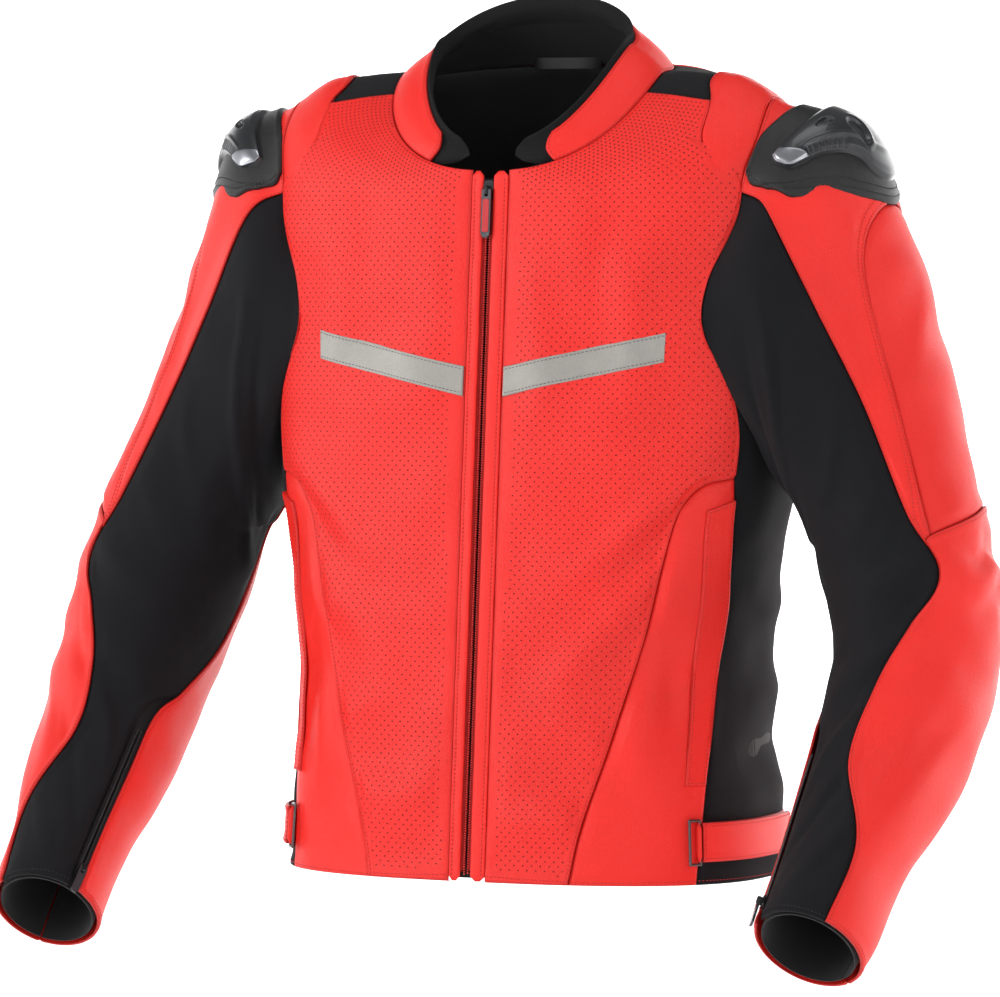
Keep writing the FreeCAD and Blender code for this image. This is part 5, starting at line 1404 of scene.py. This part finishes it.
# %% Armour shell
SHELL_COUNT_ACROSS, SHELL_COUNT_UP = 190, 110
shell_low = curve(
    [41, 0.072], [40.5, 0.084], [36.5, 0.092], [32.5, 0.096], [26.5, 0.104], [20, 0.113], [14, 0.124],
    [9.5, 0.139],
    [-2, 0.148], [-18, 0.14], [-34, 0.115], [-44, 0.08])
shell_front = curve([41, 0.072], [38.5, 0.052], [34, 0.039])
shell_high = curve(
    [34, 0.039], [27.5, 0.042], [20.5, 0.047], [13, 0.052], [2, 0.055], [-12, 0.053], [-28, 0.052],
    [-42, 0.055])


def smooth_step(low_end, high_end, x):
    t = np.clip((x - low_end) / (high_end - low_end), 0, 1)
    return t * t * (3 - 2 * t)


def shell_height(s, t):
    """Height of the shell above its floor; s runs from the front tip to the back, t from low edge to high."""
    rim = np.minimum.reduce([s, 1 - s, t * 0.5, (1 - t) * 0.5])
    height = 2.4 * smooth_step(0.0, 0.025, rim) + 0.5 * np.exp(-((rim - 0.024) / 0.010) ** 2)
    dome = np.sin(np.pi * np.clip(s, 0, 1)) ** 0.8 * np.sin(np.pi * (0.12 + 0.76 * t)) ** 0.8
    height = height + 6.0 * dome * smooth_step(0.0, 0.06, rim)
    facet = smooth_step(0.012, 0.03, s) * smooth_step(0.25, 0.235, s + 0.15 * t)
    facet = facet * smooth_step(0.03, 0.07, t) * smooth_step(0.97, 0.92, t)
    height = height + 0.8 * facet
    crease = 0.34 - 0.10 * s
    height = height + 1.2 * np.exp(
        -((t - crease) / 0.035) ** 2) * smooth_step(0.2, 0.3, s) * smooth_step(0.8, 0.7, s)
    vents = np.zeros_like(s)
    for k in range(8):
        slot_x = np.abs(s - 0.235 - 0.033 * k - (t - 0.14) * 0.12) / 0.0095
        slot_y = np.abs(t - 0.15) / 0.075
        vents = np.maximum(vents, smooth_step(1.3, 0.8, np.maximum(slot_x, slot_y)))
    scoops = np.zeros_like(s)
    for x, y, wide, tall in ((0.44, 0.62, 0.05, 0.10), (0.60, 0.42, 0.055, 0.20)):
        gap = np.hypot((s - x - 0.3 * (t - y) * wide) / wide, (t - y) / tall)
        scoops = np.maximum(scoops, smooth_step(1.0, 0.7, gap))
        height = height + 0.9 * np.exp(-((gap - 1.12) / 0.16) ** 2) * smooth_step(-0.2, 0.4, (s - x) / wide)
    return height - 1.8 * vents - 2.6 * scoops, facet, np.maximum(vents, scoops)


s_line, t_line = np.linspace(0, 1, SHELL_COUNT_ACROSS), np.linspace(0, 1, SHELL_COUNT_UP)
net = coons((shell_low, straight(list(shell_low([1])[0]), list(shell_high([1])[0])), shell_high, shell_front),
            s_line[None, :], t_line[:, None])
s_net, t_net = np.broadcast_arrays(s_line[None, :], t_line[:, None])
height, facet, sunk = shell_height(s_net, t_net)
out = sleeve_normal(net[..., 0], net[..., 1])
shell_points = sleeve_at(net[..., 0], net[..., 1]) + out * (5.0 + height)[..., None]
shell_panel = {"points": shell_points[:, ::-1], "normals": out[:, ::-1],
               "flat": sleeve_flat(net[..., 0], net[..., 1])[:, ::-1],
               "edge": (1 - sunk[:, ::-1]) * 8.0, "thickness": 2.2}
for arm, one in (("left", shell_panel), ("right", mirror_panel(shell_panel))):
    piece = sew("shoulder_armour_shell_" + arm, one, armour_plastic,
        ["shoulder_shell_" + arm])
    piece.data.materials.append(armour_insert)
    bright = facet[:, ::-1] if arm == "left" else facet
    cells = (bright[:-1, :-1] > 0.5).ravel()
    indices = np.zeros(len(piece.data.polygons), int)
    indices[:len(cells)] = cells
    piece.data.polygons.foreach_set("material_index", indices)
print("shell points", shell_points.shape)

# %% [markdown]
# ## Trim
# A reflective band crosses the chest in a shallow V, a narrow flap covers each pocket, and
# a strap at each side of the waist runs through a wire ring and folds back on itself.
# Each one is a small panel that lies on the leather below; the band and the flap also follow its folds, the
# strap lies smooth.

# %% Reflective bands
BAND_HEIGHT, BAND_RISE, BAND_END = 24.0, 28.0, 0.68
BAND_Z = front_high(0.26)


def band_line(start, z):
    half = abs(body_at(0.0, level_where(-90.0, z))[0])
    return curve(*[spot(mix(start / half, BAND_END, k / 3), z + BAND_RISE * k / 3) for k in range(4)])


def end_line(lower, upper, end):
    return straight(list(lower([end])[0]), list(upper([end])[0]))


def band(start, lines):
    lower, upper = band_line(start, BAND_Z), band_line(start, BAND_Z + BAND_HEIGHT)
    return make_panel("body", (lower, end_line(lower, upper, 1), upper, end_line(lower, upper, 0)),
                      ("flat",) * 4, lift=0.9, lines=lines, fade=0.01, thickness=0.8, cell=3.0)


band_left = band(ZIP_SLOT / 2 + PLACKET_LEFT + 1.5, FRONT_FOLDS)
band_right = mirror_panel(band(ZIP_SLOT / 2 + PLACKET_RIGHT + 1.5, other_side(FRONT_FOLDS, 16)))
sew("reflective_band_left", band_left, reflective_cloth, ["reflective_bands"])
sew("reflective_band_right", band_right, reflective_cloth, ["reflective_bands"])

# %% Pocket flaps and bags
flap_left = curve(
    spot(0.845, low(0.243)), spot(0.868, low(0.424)), spot(0.88, low(0.673)), spot(0.857, low(0.922)))
flap_right = curve(
    spot(0.905, low(0.243)), spot(0.934, low(0.424)), spot(0.956, low(0.673)), spot(0.931, low(0.947)))
pocket_flap = make_panel(
    "body", (end_line(flap_left, flap_right, 0), flap_right, end_line(flap_left, flap_right, 1), flap_left),
    ("hem", "hem", "hem", "hem"), lift=1.5, lines=LOWER_FOLDS, fade=0.01, cell=3.0)
sew_pair("pocket_flap", pocket_flap, red_leather)
bag_foot = curve(spot(0.459, low(0.143)), spot(0.84, low(0.174)))
bag_top = curve(spot(0.757, low(0.735)), spot(0.843, low(0.798)))
bag = make_panel("body", (bag_foot, end_line(bag_foot, bag_top, 1), bag_top, end_line(bag_foot, bag_top, 0)),
                 ("flat",) * 4, lift=-4.4, thickness=1.0, uneven=0.0, cell=8.0)
for arm, one in (("left", bag), ("right", mirror_panel(bag))):
    sew("pocket_bag_" + arm, one, lining_mesh, ["pocket_bags"])

# %% Waist straps and tabs
STRAP_LOW = HEM_Z + 18.0
STRAP_HIGH = STRAP_LOW + 31.0
STRAP, STRAP_LIFT, RING_RADIUS, RING_CLEAR = 1.6, 0.8, 1.2, 0.3
STRAP_FRONT, STRAP_END, TAB_END, TAB_START = -31.0, 35.0, 16.0, -30.4
FOLD_IN = RING_RADIUS + RING_CLEAR
FOLD_LIFT = STRAP_LIFT + STRAP + FOLD_IN
strap_low, strap_high = level_where(0.0, STRAP_LOW), level_where(0.0, STRAP_HIGH)


def strap_layer(start, stop, lift, edge):
    return make_panel("body", (
        straight([start, strap_low], [stop, strap_low]), straight([stop, strap_low], [stop, strap_high]),
        straight([start, strap_high], [stop, strap_high]), straight([start, strap_low], [start, strap_high])),
        ("hem", edge, "hem", "hem"), lift=lift + STRAP - 0.7, fade=0.01, uneven=0.0, cell=3.0, thickness=1.5)


strap = strap_layer(STRAP_FRONT, STRAP_END, STRAP_LIFT, "flat")
tab = strap_layer(TAB_START, TAB_END, FOLD_LIFT + FOLD_IN, "hem")
sew_pair("waist_strap", strap, red_leather)
for arm, one in (("left", tab), ("right", mirror_panel(tab))):
    sew("waist_tab_%s_skin" % arm, one, red_leather, body="waist_tab_" + arm)
fold_ends = body_at(np.full(2, STRAP_FRONT), np.array([strap_low, strap_high]))
fold_out_way = body_normal(np.full(2, STRAP_FRONT), np.array([strap_low, strap_high]))
fold_ends = fold_ends + fold_out_way * FOLD_LIFT
fold_place = zip_frame(fold_ends[0], fold_ends[1], fold_out_way[0])
turns = np.radians(np.linspace(90, 270, 13))
outer_arc = [((FOLD_IN + STRAP) * math.cos(a), (FOLD_IN + STRAP) * math.sin(a)) for a in turns]
inner_arc = [(FOLD_IN * math.cos(a), FOLD_IN * math.sin(a)) for a in turns[::-1]]
for mirror, arm in ((False, "left"), (True, "right")):
    fold = strip("waist_strap_fold_" + arm, fold_place, outer_arc + inner_arc, 0.0, fold_place[2],
        red_leather,
                 mirror=mirror)
    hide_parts("waist_strap_" + arm)
print("strap", round(fold_place[2], 1), "mm wide")

# %% [markdown]
# ## Inside
# Mesh lining, protector pads, the hanging loop and the trouser zip. Little of them shows
# through the neck and the hem, so they are plain pieces: the lining has a mesh finish, the
# pads foam, the loop black leather and the trouser zip black tape.

# %% Linings
LINING_DEPTH, LINING, PAD_GAP = 4.2, 1.0, 0.8
NECK_LEVEL = 1.0
lining_edge = along(front_edge(TAPE_WIDTH + COIL_GAP / 2 + 1.5), 0.0, NECK_LEVEL)
side_line = straight([0.0, 0.0], [0.0, ARMHOLE[6][1]])
shoulder_line = straight([0.0, ARMHOLE[0][1]], [0.0, NECK_LEVEL])


def lining_piece(seams, cell=7.0):
    return make_panel(
        "body", seams, ("flat",) * 4, lift=-LINING_DEPTH, uneven=0.5, cell=cell, thickness=LINING)


front_line = pieced((0.36, side_line), (0.75, along(armhole, 0.5, 0.0)), (1.0, shoulder_line))
back_line = pieced((0.36, side_line), (0.75, along(armhole, 0.5, 1.0)), (1.0, shoulder_line))
lining_front = lining_piece((
    straight(list(lining_edge([0])[0]), [0.0, 0.0]), front_line,
    straight(list(lining_edge([1])[0]), [0.0, NECK_LEVEL]), lining_edge))
lining_back = lining_piece((
    curve([0.0, 0.0], [60.0, 0.0], [120.0, 0.0], [180.0, 0.0]), mirrored_seam(back_line),
    curve([0.0, NECK_LEVEL], [60.0, NECK_LEVEL], [120.0, NECK_LEVEL], [180.0, NECK_LEVEL]), back_line))
sew("torso_lining_left", lining_front, lining_mesh, ["torso_lining"])
sew("torso_lining_right", mirror_panel(lining_front), lining_mesh, ["torso_lining"])
sew("torso_lining_back", lining_back, lining_mesh, ["torso_lining"])
turn_a, turn_b = BACK_TURN + 1, BACK_TURN + 359
sleeve_tube = make_panel(
    "sleeve", (straight([turn_a, 1.0], [turn_b, 1.0]), straight([turn_b, 1.0], [turn_b, 0.02]),
               straight([turn_a, 0.02], [turn_b, 0.02]), straight([turn_a, 1.0], [turn_a, 0.02])),
    ("flat",) * 4, lift=-4.8, uneven=0.5, cell=6.0, thickness=LINING)
sew_pair("sleeve_lining", sleeve_tube, lining_mesh)

# %% Protector pads
pad_foam = plain_finish("pad_foam", (0.05, 0.05, 0.055), 0.8, scale=400.0, depth=0.0002)


def sleeve_pad(turn0, turn1, w0, w1, thick):
    return make_panel("sleeve", (
        straight([turn0, w1], [turn1, w1]), straight([turn1, w1], [turn1, w0]),
        straight([turn0, w0], [turn1, w0]), straight([turn0, w1], [turn0, w0])),
        ("pad",) * 4, lift=-4.8 - LINING - PAD_GAP - 0.4, uneven=0.0, cell=6.0, thickness=thick)


for name, pad in (("shoulder_protector", sleeve_pad(-45, 42, 0.05, 0.24, 7.0)),
                  ("elbow_protector", sleeve_pad(-45, 30, 0.36, 0.6, 8.0))):
    sew(name + "_left", pad, pad_foam, [name + "s"])
    sew(name + "_right", mirror_panel(pad), pad_foam, [name + "s"])
pad_top, pad_foot = across_back(YOKE_Z - 15, 0.5), across_back(RIB_TOP_Z, 0.42)
sew("back_protector_pad", make_panel(
    "body", (pad_foot, end_line(pad_foot, pad_top, 1), pad_top, end_line(pad_foot, pad_top, 0)),
    ("pad",) * 4, lift=-LINING_DEPTH - LINING - PAD_GAP - 0.4, uneven=0.0, cell=6.0, thickness=11.0),
    pad_foam, ["back_protector"])

# %% Hanging loop and trouser zip
trouser_low, trouser_high = across_back(HEM_Z + 18, 0.45), across_back(HEM_Z + 42, 0.45)
sew("trouser_zip_tape", make_panel(
    "body", (trouser_low, end_line(trouser_low, trouser_high, 1), trouser_high,
        end_line(trouser_low, trouser_high, 0)),
    ("flat",) * 4, lift=-LINING_DEPTH - LINING - 0.8, uneven=0.0, cell=5.0, thickness=1.6),
    zip_tape_black, ["trouser_zip"])
loop_low, loop_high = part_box("hang_loop")
loop_low, loop_high = np.array(loop_low) / MM, np.array(loop_high) / MM
loop_half = loop_high[0]
LOOP_STEPS = 25
loop_rows = []
for x in np.linspace(-loop_half, loop_half, LOOP_STEPS):
    bow = 1 - (x / loop_half) ** 4
    y = mix(loop_high[1] - 1.6, loop_low[1], bow)
    loop_rows.append([(x, y, loop_low[2]), (x, y, loop_high[2]), (x, y + 1.4, loop_high[2]),
        (x, y + 1.4, loop_low[2])])
loop_points = np.array(loop_rows).reshape(-1, 3)
k = np.arange(LOOP_STEPS * 4).reshape(LOOP_STEPS, 4)
loop_faces = np.stack([k[:-1], k[1:], np.roll(k, -1, 1)[1:], np.roll(k, -1, 1)[:-1]], -1).reshape(-1, 4)
loop_faces = loop_faces.tolist() + [k[0].tolist(), k[-1, ::-1].tolist()]
loop = plain_mesh("hang_loop_strap", loop_points * MM, loop_faces, black_leather)
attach(loop, "root")
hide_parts("hang_loop")
print("pieces so far", len(panels))

# %% [markdown]
# ## Thread, teeth and holes
# Stitches, zip teeth and perforations repeat, so nodes make them. One tree walks along
# lines and sets a small rounded shape at equal steps: long and thin it is a stitch, short
# and fat a zip tooth. Another lays a lattice of holes on a panel through its flat map; each
# hole is a dark disc, painted shade for the inside of the hole.

# %% The tree that walks along lines
def tree_socket(tree, name, kind, value=None):
    socket = tree.interface.new_socket(name=name, in_out="INPUT", socket_type=kind)
    if value is not None:
        socket.default_value = value
    return socket


def link(tree, source, target):
    tree.links.new(source, target)


row_tree = bpy.data.node_groups.new("row_along_lines", "GeometryNodeTree")
tree_socket(row_tree, "Lines", "NodeSocketGeometry")
row_tree.interface.new_socket(name="Row", in_out="OUTPUT", socket_type="NodeSocketGeometry")
tree_socket(row_tree, "Spacing", "NodeSocketFloat", 0.0032)
tree_socket(row_tree, "Size", "NodeSocketVector", (0.0011, 0.0003, 0.0003))
tree_socket(row_tree, "Jitter", "NodeSocketFloat", 0.12)
tree_socket(row_tree, "Seed", "NodeSocketInt", 3)
tree_socket(row_tree, "Finish", "NodeSocketMaterial")
given, made = row_tree.nodes.new("NodeGroupInput"), row_tree.nodes.new("NodeGroupOutput")
as_curve = row_tree.nodes.new("GeometryNodeMeshToCurve")
evened = row_tree.nodes.new("GeometryNodeResampleCurve")
evened.mode = "LENGTH"
tangent = row_tree.nodes.new("GeometryNodeInputTangent")
aimed = row_tree.nodes.new("FunctionNodeAlignRotationToVector")
aimed.axis = "X"
jitter = row_tree.nodes.new("FunctionNodeRandomValue")
jitter.data_type = "FLOAT_VECTOR"
low_turn = row_tree.nodes.new("ShaderNodeMath")
low_turn.operation = "MULTIPLY"
low_turn.inputs[1].default_value = -1.0
turned = row_tree.nodes.new("FunctionNodeRotateRotation")
turned.rotation_space = "LOCAL"
bead = row_tree.nodes.new("GeometryNodeMeshUVSphere")
bead.inputs["Segments"].default_value = 6
bead.inputs["Rings"].default_value = 4
bead.inputs["Radius"].default_value = 1.0
set_out = row_tree.nodes.new("GeometryNodeInstanceOnPoints")
real = row_tree.nodes.new("GeometryNodeRealizeInstances")
smooth = row_tree.nodes.new("GeometryNodeSetShadeSmooth")
finish = row_tree.nodes.new("GeometryNodeSetMaterial")
link(row_tree, given.outputs["Lines"], as_curve.inputs[0])
link(row_tree, as_curve.outputs[0], evened.inputs["Curve"])
link(row_tree, given.outputs["Spacing"], evened.inputs["Length"])
link(row_tree, evened.outputs[0], set_out.inputs["Points"])
link(row_tree, tangent.outputs[0], aimed.inputs["Vector"])
link(row_tree, given.outputs["Jitter"], low_turn.inputs[0])
link(row_tree, low_turn.outputs[0], jitter.inputs[0])
link(row_tree, given.outputs["Jitter"], jitter.inputs[1])
link(row_tree, given.outputs["Seed"], jitter.inputs["Seed"])
link(row_tree, aimed.outputs[0], turned.inputs["Rotation"])
link(row_tree, jitter.outputs[0], turned.inputs["Rotate By"])
link(row_tree, turned.outputs[0], set_out.inputs["Rotation"])
link(row_tree, bead.outputs["Mesh"], set_out.inputs["Instance"])
link(row_tree, given.outputs["Size"], set_out.inputs["Scale"])
link(row_tree, set_out.outputs[0], real.inputs[0])
link(row_tree, real.outputs[0], smooth.inputs[0])
link(row_tree, smooth.outputs[0], finish.inputs[0])
link(row_tree, given.outputs["Finish"], finish.inputs["Material"])
link(row_tree, finish.outputs[0], made.inputs[0])
print("row tree has", len(row_tree.nodes), "nodes")


# %% Running a tree
def grow(name, carrier, tree, body, **values):
    """The carrier's mesh after the tree, as a plain mesh that rides on a body."""
    modifier = carrier.modifiers.new("grow", "NODES")
    modifier.node_group = tree
    for label, value in values.items():
        socket = next(item for item in tree.interface.items_tree if item.name == label.replace("_", " "))
        modifier[socket.identifier] = value
    bpy.context.view_layer.update()
    graph = bpy.context.evaluated_depsgraph_get()
    mesh = bpy.data.meshes.new_from_object(carrier.evaluated_get(graph), depsgraph=graph)
    mesh.name = name
    bpy.data.objects.remove(carrier)
    piece = bpy.data.objects.new(name, mesh)
    bpy.context.scene.collection.objects.link(piece)
    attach(piece, body)
    return piece


def line_carrier(lines):
    """A mesh of loose edges, one chain for each line of points in millimetres."""
    points, pairs, start = [], [], 0
    for line in lines:
        points.extend((np.asarray(line) * MM).tolist())
        pairs.extend((start + i, start + i + 1) for i in range(len(line) - 1))
        start += len(line)
    mesh = bpy.data.meshes.new("lines")
    mesh.from_pydata(points, pairs, [])
    carrier = bpy.data.objects.new("lines", mesh)
    bpy.context.scene.collection.objects.link(carrier)
    return carrier


def thread_row(name, lines, material, body="root", spacing=3.3, size=(1.15, 0.32, 0.32)):
    piece = grow(name, line_carrier(lines), row_tree, body, Spacing=spacing * MM,
                 Size=[c * MM for c in size], Jitter=0.08, Seed=3, Finish=material)
    return piece


# %% Stitches
def lifted(panel, side, rise=0.28, step=STITCH_STEP):
    """An edge line raised a little off the leather, so that the thread lies on it."""
    points, normals = dict(panel), dict(panel)
    normals["points"] = panel["normals"]
    return edge_line(points, side, step) + edge_line(normals, side, step) * rise


SIDES = ("bottom", "right", "top", "left")
rows = {
    "front_panel_left_skin": ("bottom", "right", "top"), "front_panel_right_skin": ("bottom", "left", "top"),
    "lower_front_panel_left_skin": ("bottom",), "lower_front_panel_right_skin": ("bottom",),
    "shoulder_panel_left_skin": ("bottom", "right", "top"),
    "shoulder_panel_right_skin": ("bottom", "left", "top"),
    "side_stretch_panel_left_skin": ("bottom",), "side_stretch_panel_right_skin": ("bottom",),
    "lower_back_panel_skin": SIDES, "back_panel_skin": ("bottom", "right", "left"),
    "back_yoke_skin": ("bottom", "top"),
    "collar_shell_skin": ("bottom", "left", "right", "top"), "pocket_flap_left_skin": SIDES,
    "pocket_flap_right_skin": SIDES,
    "waist_strap_left_skin": SIDES, "waist_strap_right_skin": SIDES,
}
thread_row("stitches_body", [lifted(panels[name][1], side) for name, sides in rows.items() for side in sides],
           thread_red)
for arm in ("left", "right"):
    mirrored_side = (
        {"left": "right", "right": "left"} if arm == "right" else {"left": "left", "right": "right"})
    sleeve_rows = {"under": ("bottom", "right"), "elbow": (), "forearm": ("bottom", "right", "top", "left"),
                   "upper": ("bottom", "top", "left")}
    lines = [lifted(panels["sleeve_%s_panel_%s_skin" % (kind, arm)][1], mirrored_side.get(side, side))
             for kind, sides in sleeve_rows.items() for side in sides]
    lines += [lifted(panels["sleeve_upper_panel_%s_skin" % arm][1], "bottom", step=SECOND_STITCH_STEP)]
    thread_row("stitches_sleeve_" + arm, lines, thread_red)
    thread_row("stitches_cuff_" + arm, [lifted(panels["sleeve_stretch_panel_%s_skin" % arm][1], "bottom")],
               thread_black)
    base = panels["shoulder_armour_base_%s_skin" % arm][1]
    lines = [lifted(base, side, 0.3, step) for side in ("bottom", "left", "right") for step in (4, 6)]
    thread_row("stitches_armour_" + arm, lines, thread_black, size=(1.3, 0.38, 0.38))
    lines = [lifted(panels["waist_tab_%s_skin" % arm][1], side) for side in SIDES]
    thread_row("stitches_tab_" + arm, lines, thread_red, "waist_tab_" + arm)
band_lines = [lifted(panels["reflective_band_" + arm][1], side, 0.2) for arm in ("left", "right")
              for side in ("bottom", "top")]
thread_row("stitches_bands", band_lines, thread_grey)
placket_lines = []
for side, width in ((1, PLACKET_LEFT), (-1, PLACKET_RIGHT)):
    places = np.arange(6.0, front_zip[2] - 6, 6.0)
    across = side * (ZIP_SLOT / 2 + width - 3.0)
    placket_lines.append(in_zip(front_zip, np.column_stack(
        [np.full(len(places), across), np.full(len(places), -0.75), places])))
thread_row("stitches_plackets", placket_lines, thread_red)

# %% Zip teeth
TOOTH_PITCH = 1.9


def tooth_lines(zip_place, depth, start, stop, mirror=False):
    lines = []
    for side in (1, -1):
        shift = TOOTH_PITCH / 2 if side > 0 else 0.0
        across = side * (COIL_GAP / 2 + 0.9)
        line = in_zip(zip_place, [[across, depth, start + shift], [across, depth, stop]])
        lines.append(line * [-1, 1, 1] if mirror else line)
    return lines


thread_row("front_zip_teeth", tooth_lines(front_zip, CHAIN_DEPTH, CHAIN_LOW, CHAIN_HIGH - 4), coil_red,
           spacing=TOOTH_PITCH, size=(0.78, 1.55, 0.85))
for mirror, arm in ((False, "left"), (True, "right")):
    thread_row("cuff_zip_teeth_" + arm, tooth_lines(cuff_zip, CUFF_CHAIN_DEPTH, 2.0, cuff_zip[2] - 2, mirror),
               coil_black, spacing=TOOTH_PITCH, size=(0.75, 1.2, 0.8))

# %% The tree that lays a lattice of holes
hole_tree = bpy.data.node_groups.new("holes_on_hide", "GeometryNodeTree")
tree_socket(hole_tree, "Hide", "NodeSocketGeometry")
hole_tree.interface.new_socket(name="Holes", in_out="OUTPUT", socket_type="NodeSocketGeometry")
for label, kind, value in (("Pitch", "NodeSocketFloat", 0.0052), ("Radius", "NodeSocketFloat", 0.0006),
                           ("Margin", "NodeSocketFloat", 6.0), ("Reach", "NodeSocketFloat", 0.7),
                           ("Centre", "NodeSocketVector", (0.2, 0.3, 0.0))):
    tree_socket(hole_tree, label, kind, value)
tree_socket(hole_tree, "Finish", "NodeSocketMaterial")
given, made = hole_tree.nodes.new("NodeGroupInput"), hole_tree.nodes.new("NodeGroupOutput")
count = hole_tree.nodes.new("ShaderNodeMath")
count.operation = "DIVIDE"
lattice = hole_tree.nodes.new("GeometryNodeMeshGrid")
turn_it = hole_tree.nodes.new("GeometryNodeTransform")
turn_it.inputs["Rotation"].default_value = (0.0, 0.0, math.radians(45))
uv_in = hole_tree.nodes.new("GeometryNodeInputNamedAttribute")
uv_in.data_type = "FLOAT_VECTOR"
uv_in.inputs["Name"].default_value = "hide"
edge_in = hole_tree.nodes.new("GeometryNodeInputNamedAttribute")
edge_in.data_type = "FLOAT"
edge_in.inputs["Name"].default_value = "edge_mm"
place_in = hole_tree.nodes.new("GeometryNodeInputPosition")
normal_in = hole_tree.nodes.new("GeometryNodeInputNormal")
samples = {}
for label, kind, source in (("place", "FLOAT_VECTOR", place_in.outputs[0]),
    ("normal", "FLOAT_VECTOR", normal_in.outputs[0]),
                            ("edge", "FLOAT", edge_in.outputs["Attribute"])):
    sampler = hole_tree.nodes.new("GeometryNodeSampleUVSurface")
    sampler.data_type = kind
    link(hole_tree, given.outputs["Hide"], sampler.inputs["Mesh"])
    link(hole_tree, source, sampler.inputs["Value"])
    link(hole_tree, uv_in.outputs["Attribute"], sampler.inputs["UV Map"])
    samples[label] = sampler
spots = hole_tree.nodes.new("GeometryNodeMeshToPoints")
lattice_place = hole_tree.nodes.new("GeometryNodeInputPosition")
keep_uv = hole_tree.nodes.new("GeometryNodeCaptureAttribute")
keep_uv.capture_items.new("VECTOR", "Lattice")
for sampler in samples.values():
    link(hole_tree, keep_uv.outputs["Lattice"], sampler.inputs["Sample UV"])
far = hole_tree.nodes.new("FunctionNodeCompare")
far.data_type = "FLOAT"
far.operation = "GREATER_THAN"
both = hole_tree.nodes.new("FunctionNodeBooleanMath")
both.operation = "AND"
drop = hole_tree.nodes.new("FunctionNodeBooleanMath")
drop.operation = "NOT"
cull = hole_tree.nodes.new("GeometryNodeDeleteGeometry")
cull.domain = "POINT"
put = hole_tree.nodes.new("GeometryNodeSetPosition")
stand_off = hole_tree.nodes.new("ShaderNodeVectorMath")
stand_off.operation = "SCALE"
stand_off.inputs["Scale"].default_value = 0.00022
total = hole_tree.nodes.new("ShaderNodeVectorMath")
total.operation = "ADD"
disc = hole_tree.nodes.new("GeometryNodeMeshCircle")
disc.fill_type = "NGON"
disc.inputs["Vertices"].default_value = 8
facing = hole_tree.nodes.new("FunctionNodeAlignRotationToVector")
facing.axis = "Z"
keep_normal = hole_tree.nodes.new("GeometryNodeCaptureAttribute")
keep_normal.capture_items.new("VECTOR", "Out")
set_discs = hole_tree.nodes.new("GeometryNodeInstanceOnPoints")
real = hole_tree.nodes.new("GeometryNodeRealizeInstances")
finish = hole_tree.nodes.new("GeometryNodeSetMaterial")
for side in ("Size X", "Size Y"):
    link(hole_tree, given.outputs["Reach"], lattice.inputs[side])
link(hole_tree, given.outputs["Reach"], count.inputs[0])
link(hole_tree, given.outputs["Pitch"], count.inputs[1])
for side in ("Vertices X", "Vertices Y"):
    link(hole_tree, count.outputs[0], lattice.inputs[side])
link(hole_tree, lattice.outputs["Mesh"], turn_it.inputs["Geometry"])
link(hole_tree, given.outputs["Centre"], turn_it.inputs["Translation"])
link(hole_tree, turn_it.outputs[0], spots.inputs[0])
link(hole_tree, spots.outputs[0], keep_uv.inputs["Geometry"])
link(hole_tree, lattice_place.outputs[0], keep_uv.inputs["Lattice"])
link(hole_tree, keep_uv.outputs["Geometry"], cull.inputs["Geometry"])
link(hole_tree, samples["edge"].outputs["Value"], far.inputs[0])
link(hole_tree, given.outputs["Margin"], far.inputs[1])
link(hole_tree, far.outputs[0], both.inputs[0])
link(hole_tree, samples["edge"].outputs["Is Valid"], both.inputs[1])
link(hole_tree, both.outputs[0], drop.inputs[0])
link(hole_tree, drop.outputs[0], cull.inputs["Selection"])
link(hole_tree, cull.outputs[0], keep_normal.inputs["Geometry"])
link(hole_tree, samples["normal"].outputs["Value"], keep_normal.inputs["Out"])
link(hole_tree, samples["normal"].outputs["Value"], stand_off.inputs[0])
link(hole_tree, samples["place"].outputs["Value"], total.inputs[0])
link(hole_tree, stand_off.outputs[0], total.inputs[1])
link(hole_tree, keep_normal.outputs["Geometry"], put.inputs["Geometry"])
link(hole_tree, total.outputs[0], put.inputs["Position"])
link(hole_tree, put.outputs[0], set_discs.inputs["Points"])
link(hole_tree, given.outputs["Radius"], disc.inputs["Radius"])
link(hole_tree, disc.outputs[0], set_discs.inputs["Instance"])
link(hole_tree, keep_normal.outputs["Out"], facing.inputs["Vector"])
link(hole_tree, facing.outputs[0], set_discs.inputs["Rotation"])
link(hole_tree, set_discs.outputs[0], real.inputs[0])
link(hole_tree, real.outputs[0], finish.inputs[0])
link(hole_tree, given.outputs["Finish"], finish.inputs["Material"])
link(hole_tree, finish.outputs[0], made.inputs[0])


# %% Perforations
def hide_carrier(panel):
    """The outer face of a panel alone, with its flat map, as the mesh the lattice is laid on."""
    points = panel["points"]
    mesh = bpy.data.meshes.new("hide")
    mesh.from_pydata((points.reshape(-1, 3) * MM).tolist(), [], sheet_faces(*points.shape[:2]).tolist())
    add_layers(mesh, panel["flat"].reshape(-1, 2), panel["edge"].ravel())
    carrier = bpy.data.objects.new("hide", mesh)
    bpy.context.scene.collection.objects.link(carrier)
    return carrier


def perforate(name, panel):
    flat = panel["flat"].reshape(-1, 2) * MM
    centre = (flat.min(axis=0) + flat.max(axis=0)) / 2
    reach = float((flat.max(axis=0) - flat.min(axis=0)).sum() * 0.75)
    # Each hole is a dark disc, painted shade for the inside of the hole.
    holes = grow(name, hide_carrier(panel), hole_tree, "root", Pitch=0.0052, Radius=0.00062, Margin=6.0,
                 Reach=reach, Centre=[*centre, 0.0], Finish=hole_painted_shade)
    return len(holes.data.polygons)


for name in ("front_panel_left_skin", "front_panel_right_skin", "sleeve_elbow_panel_left_skin",
             "sleeve_elbow_panel_right_skin", "back_panel_skin"):
    print(name, "holes", perforate("holes_" + name.replace("_skin", ""), panels[name][1]))
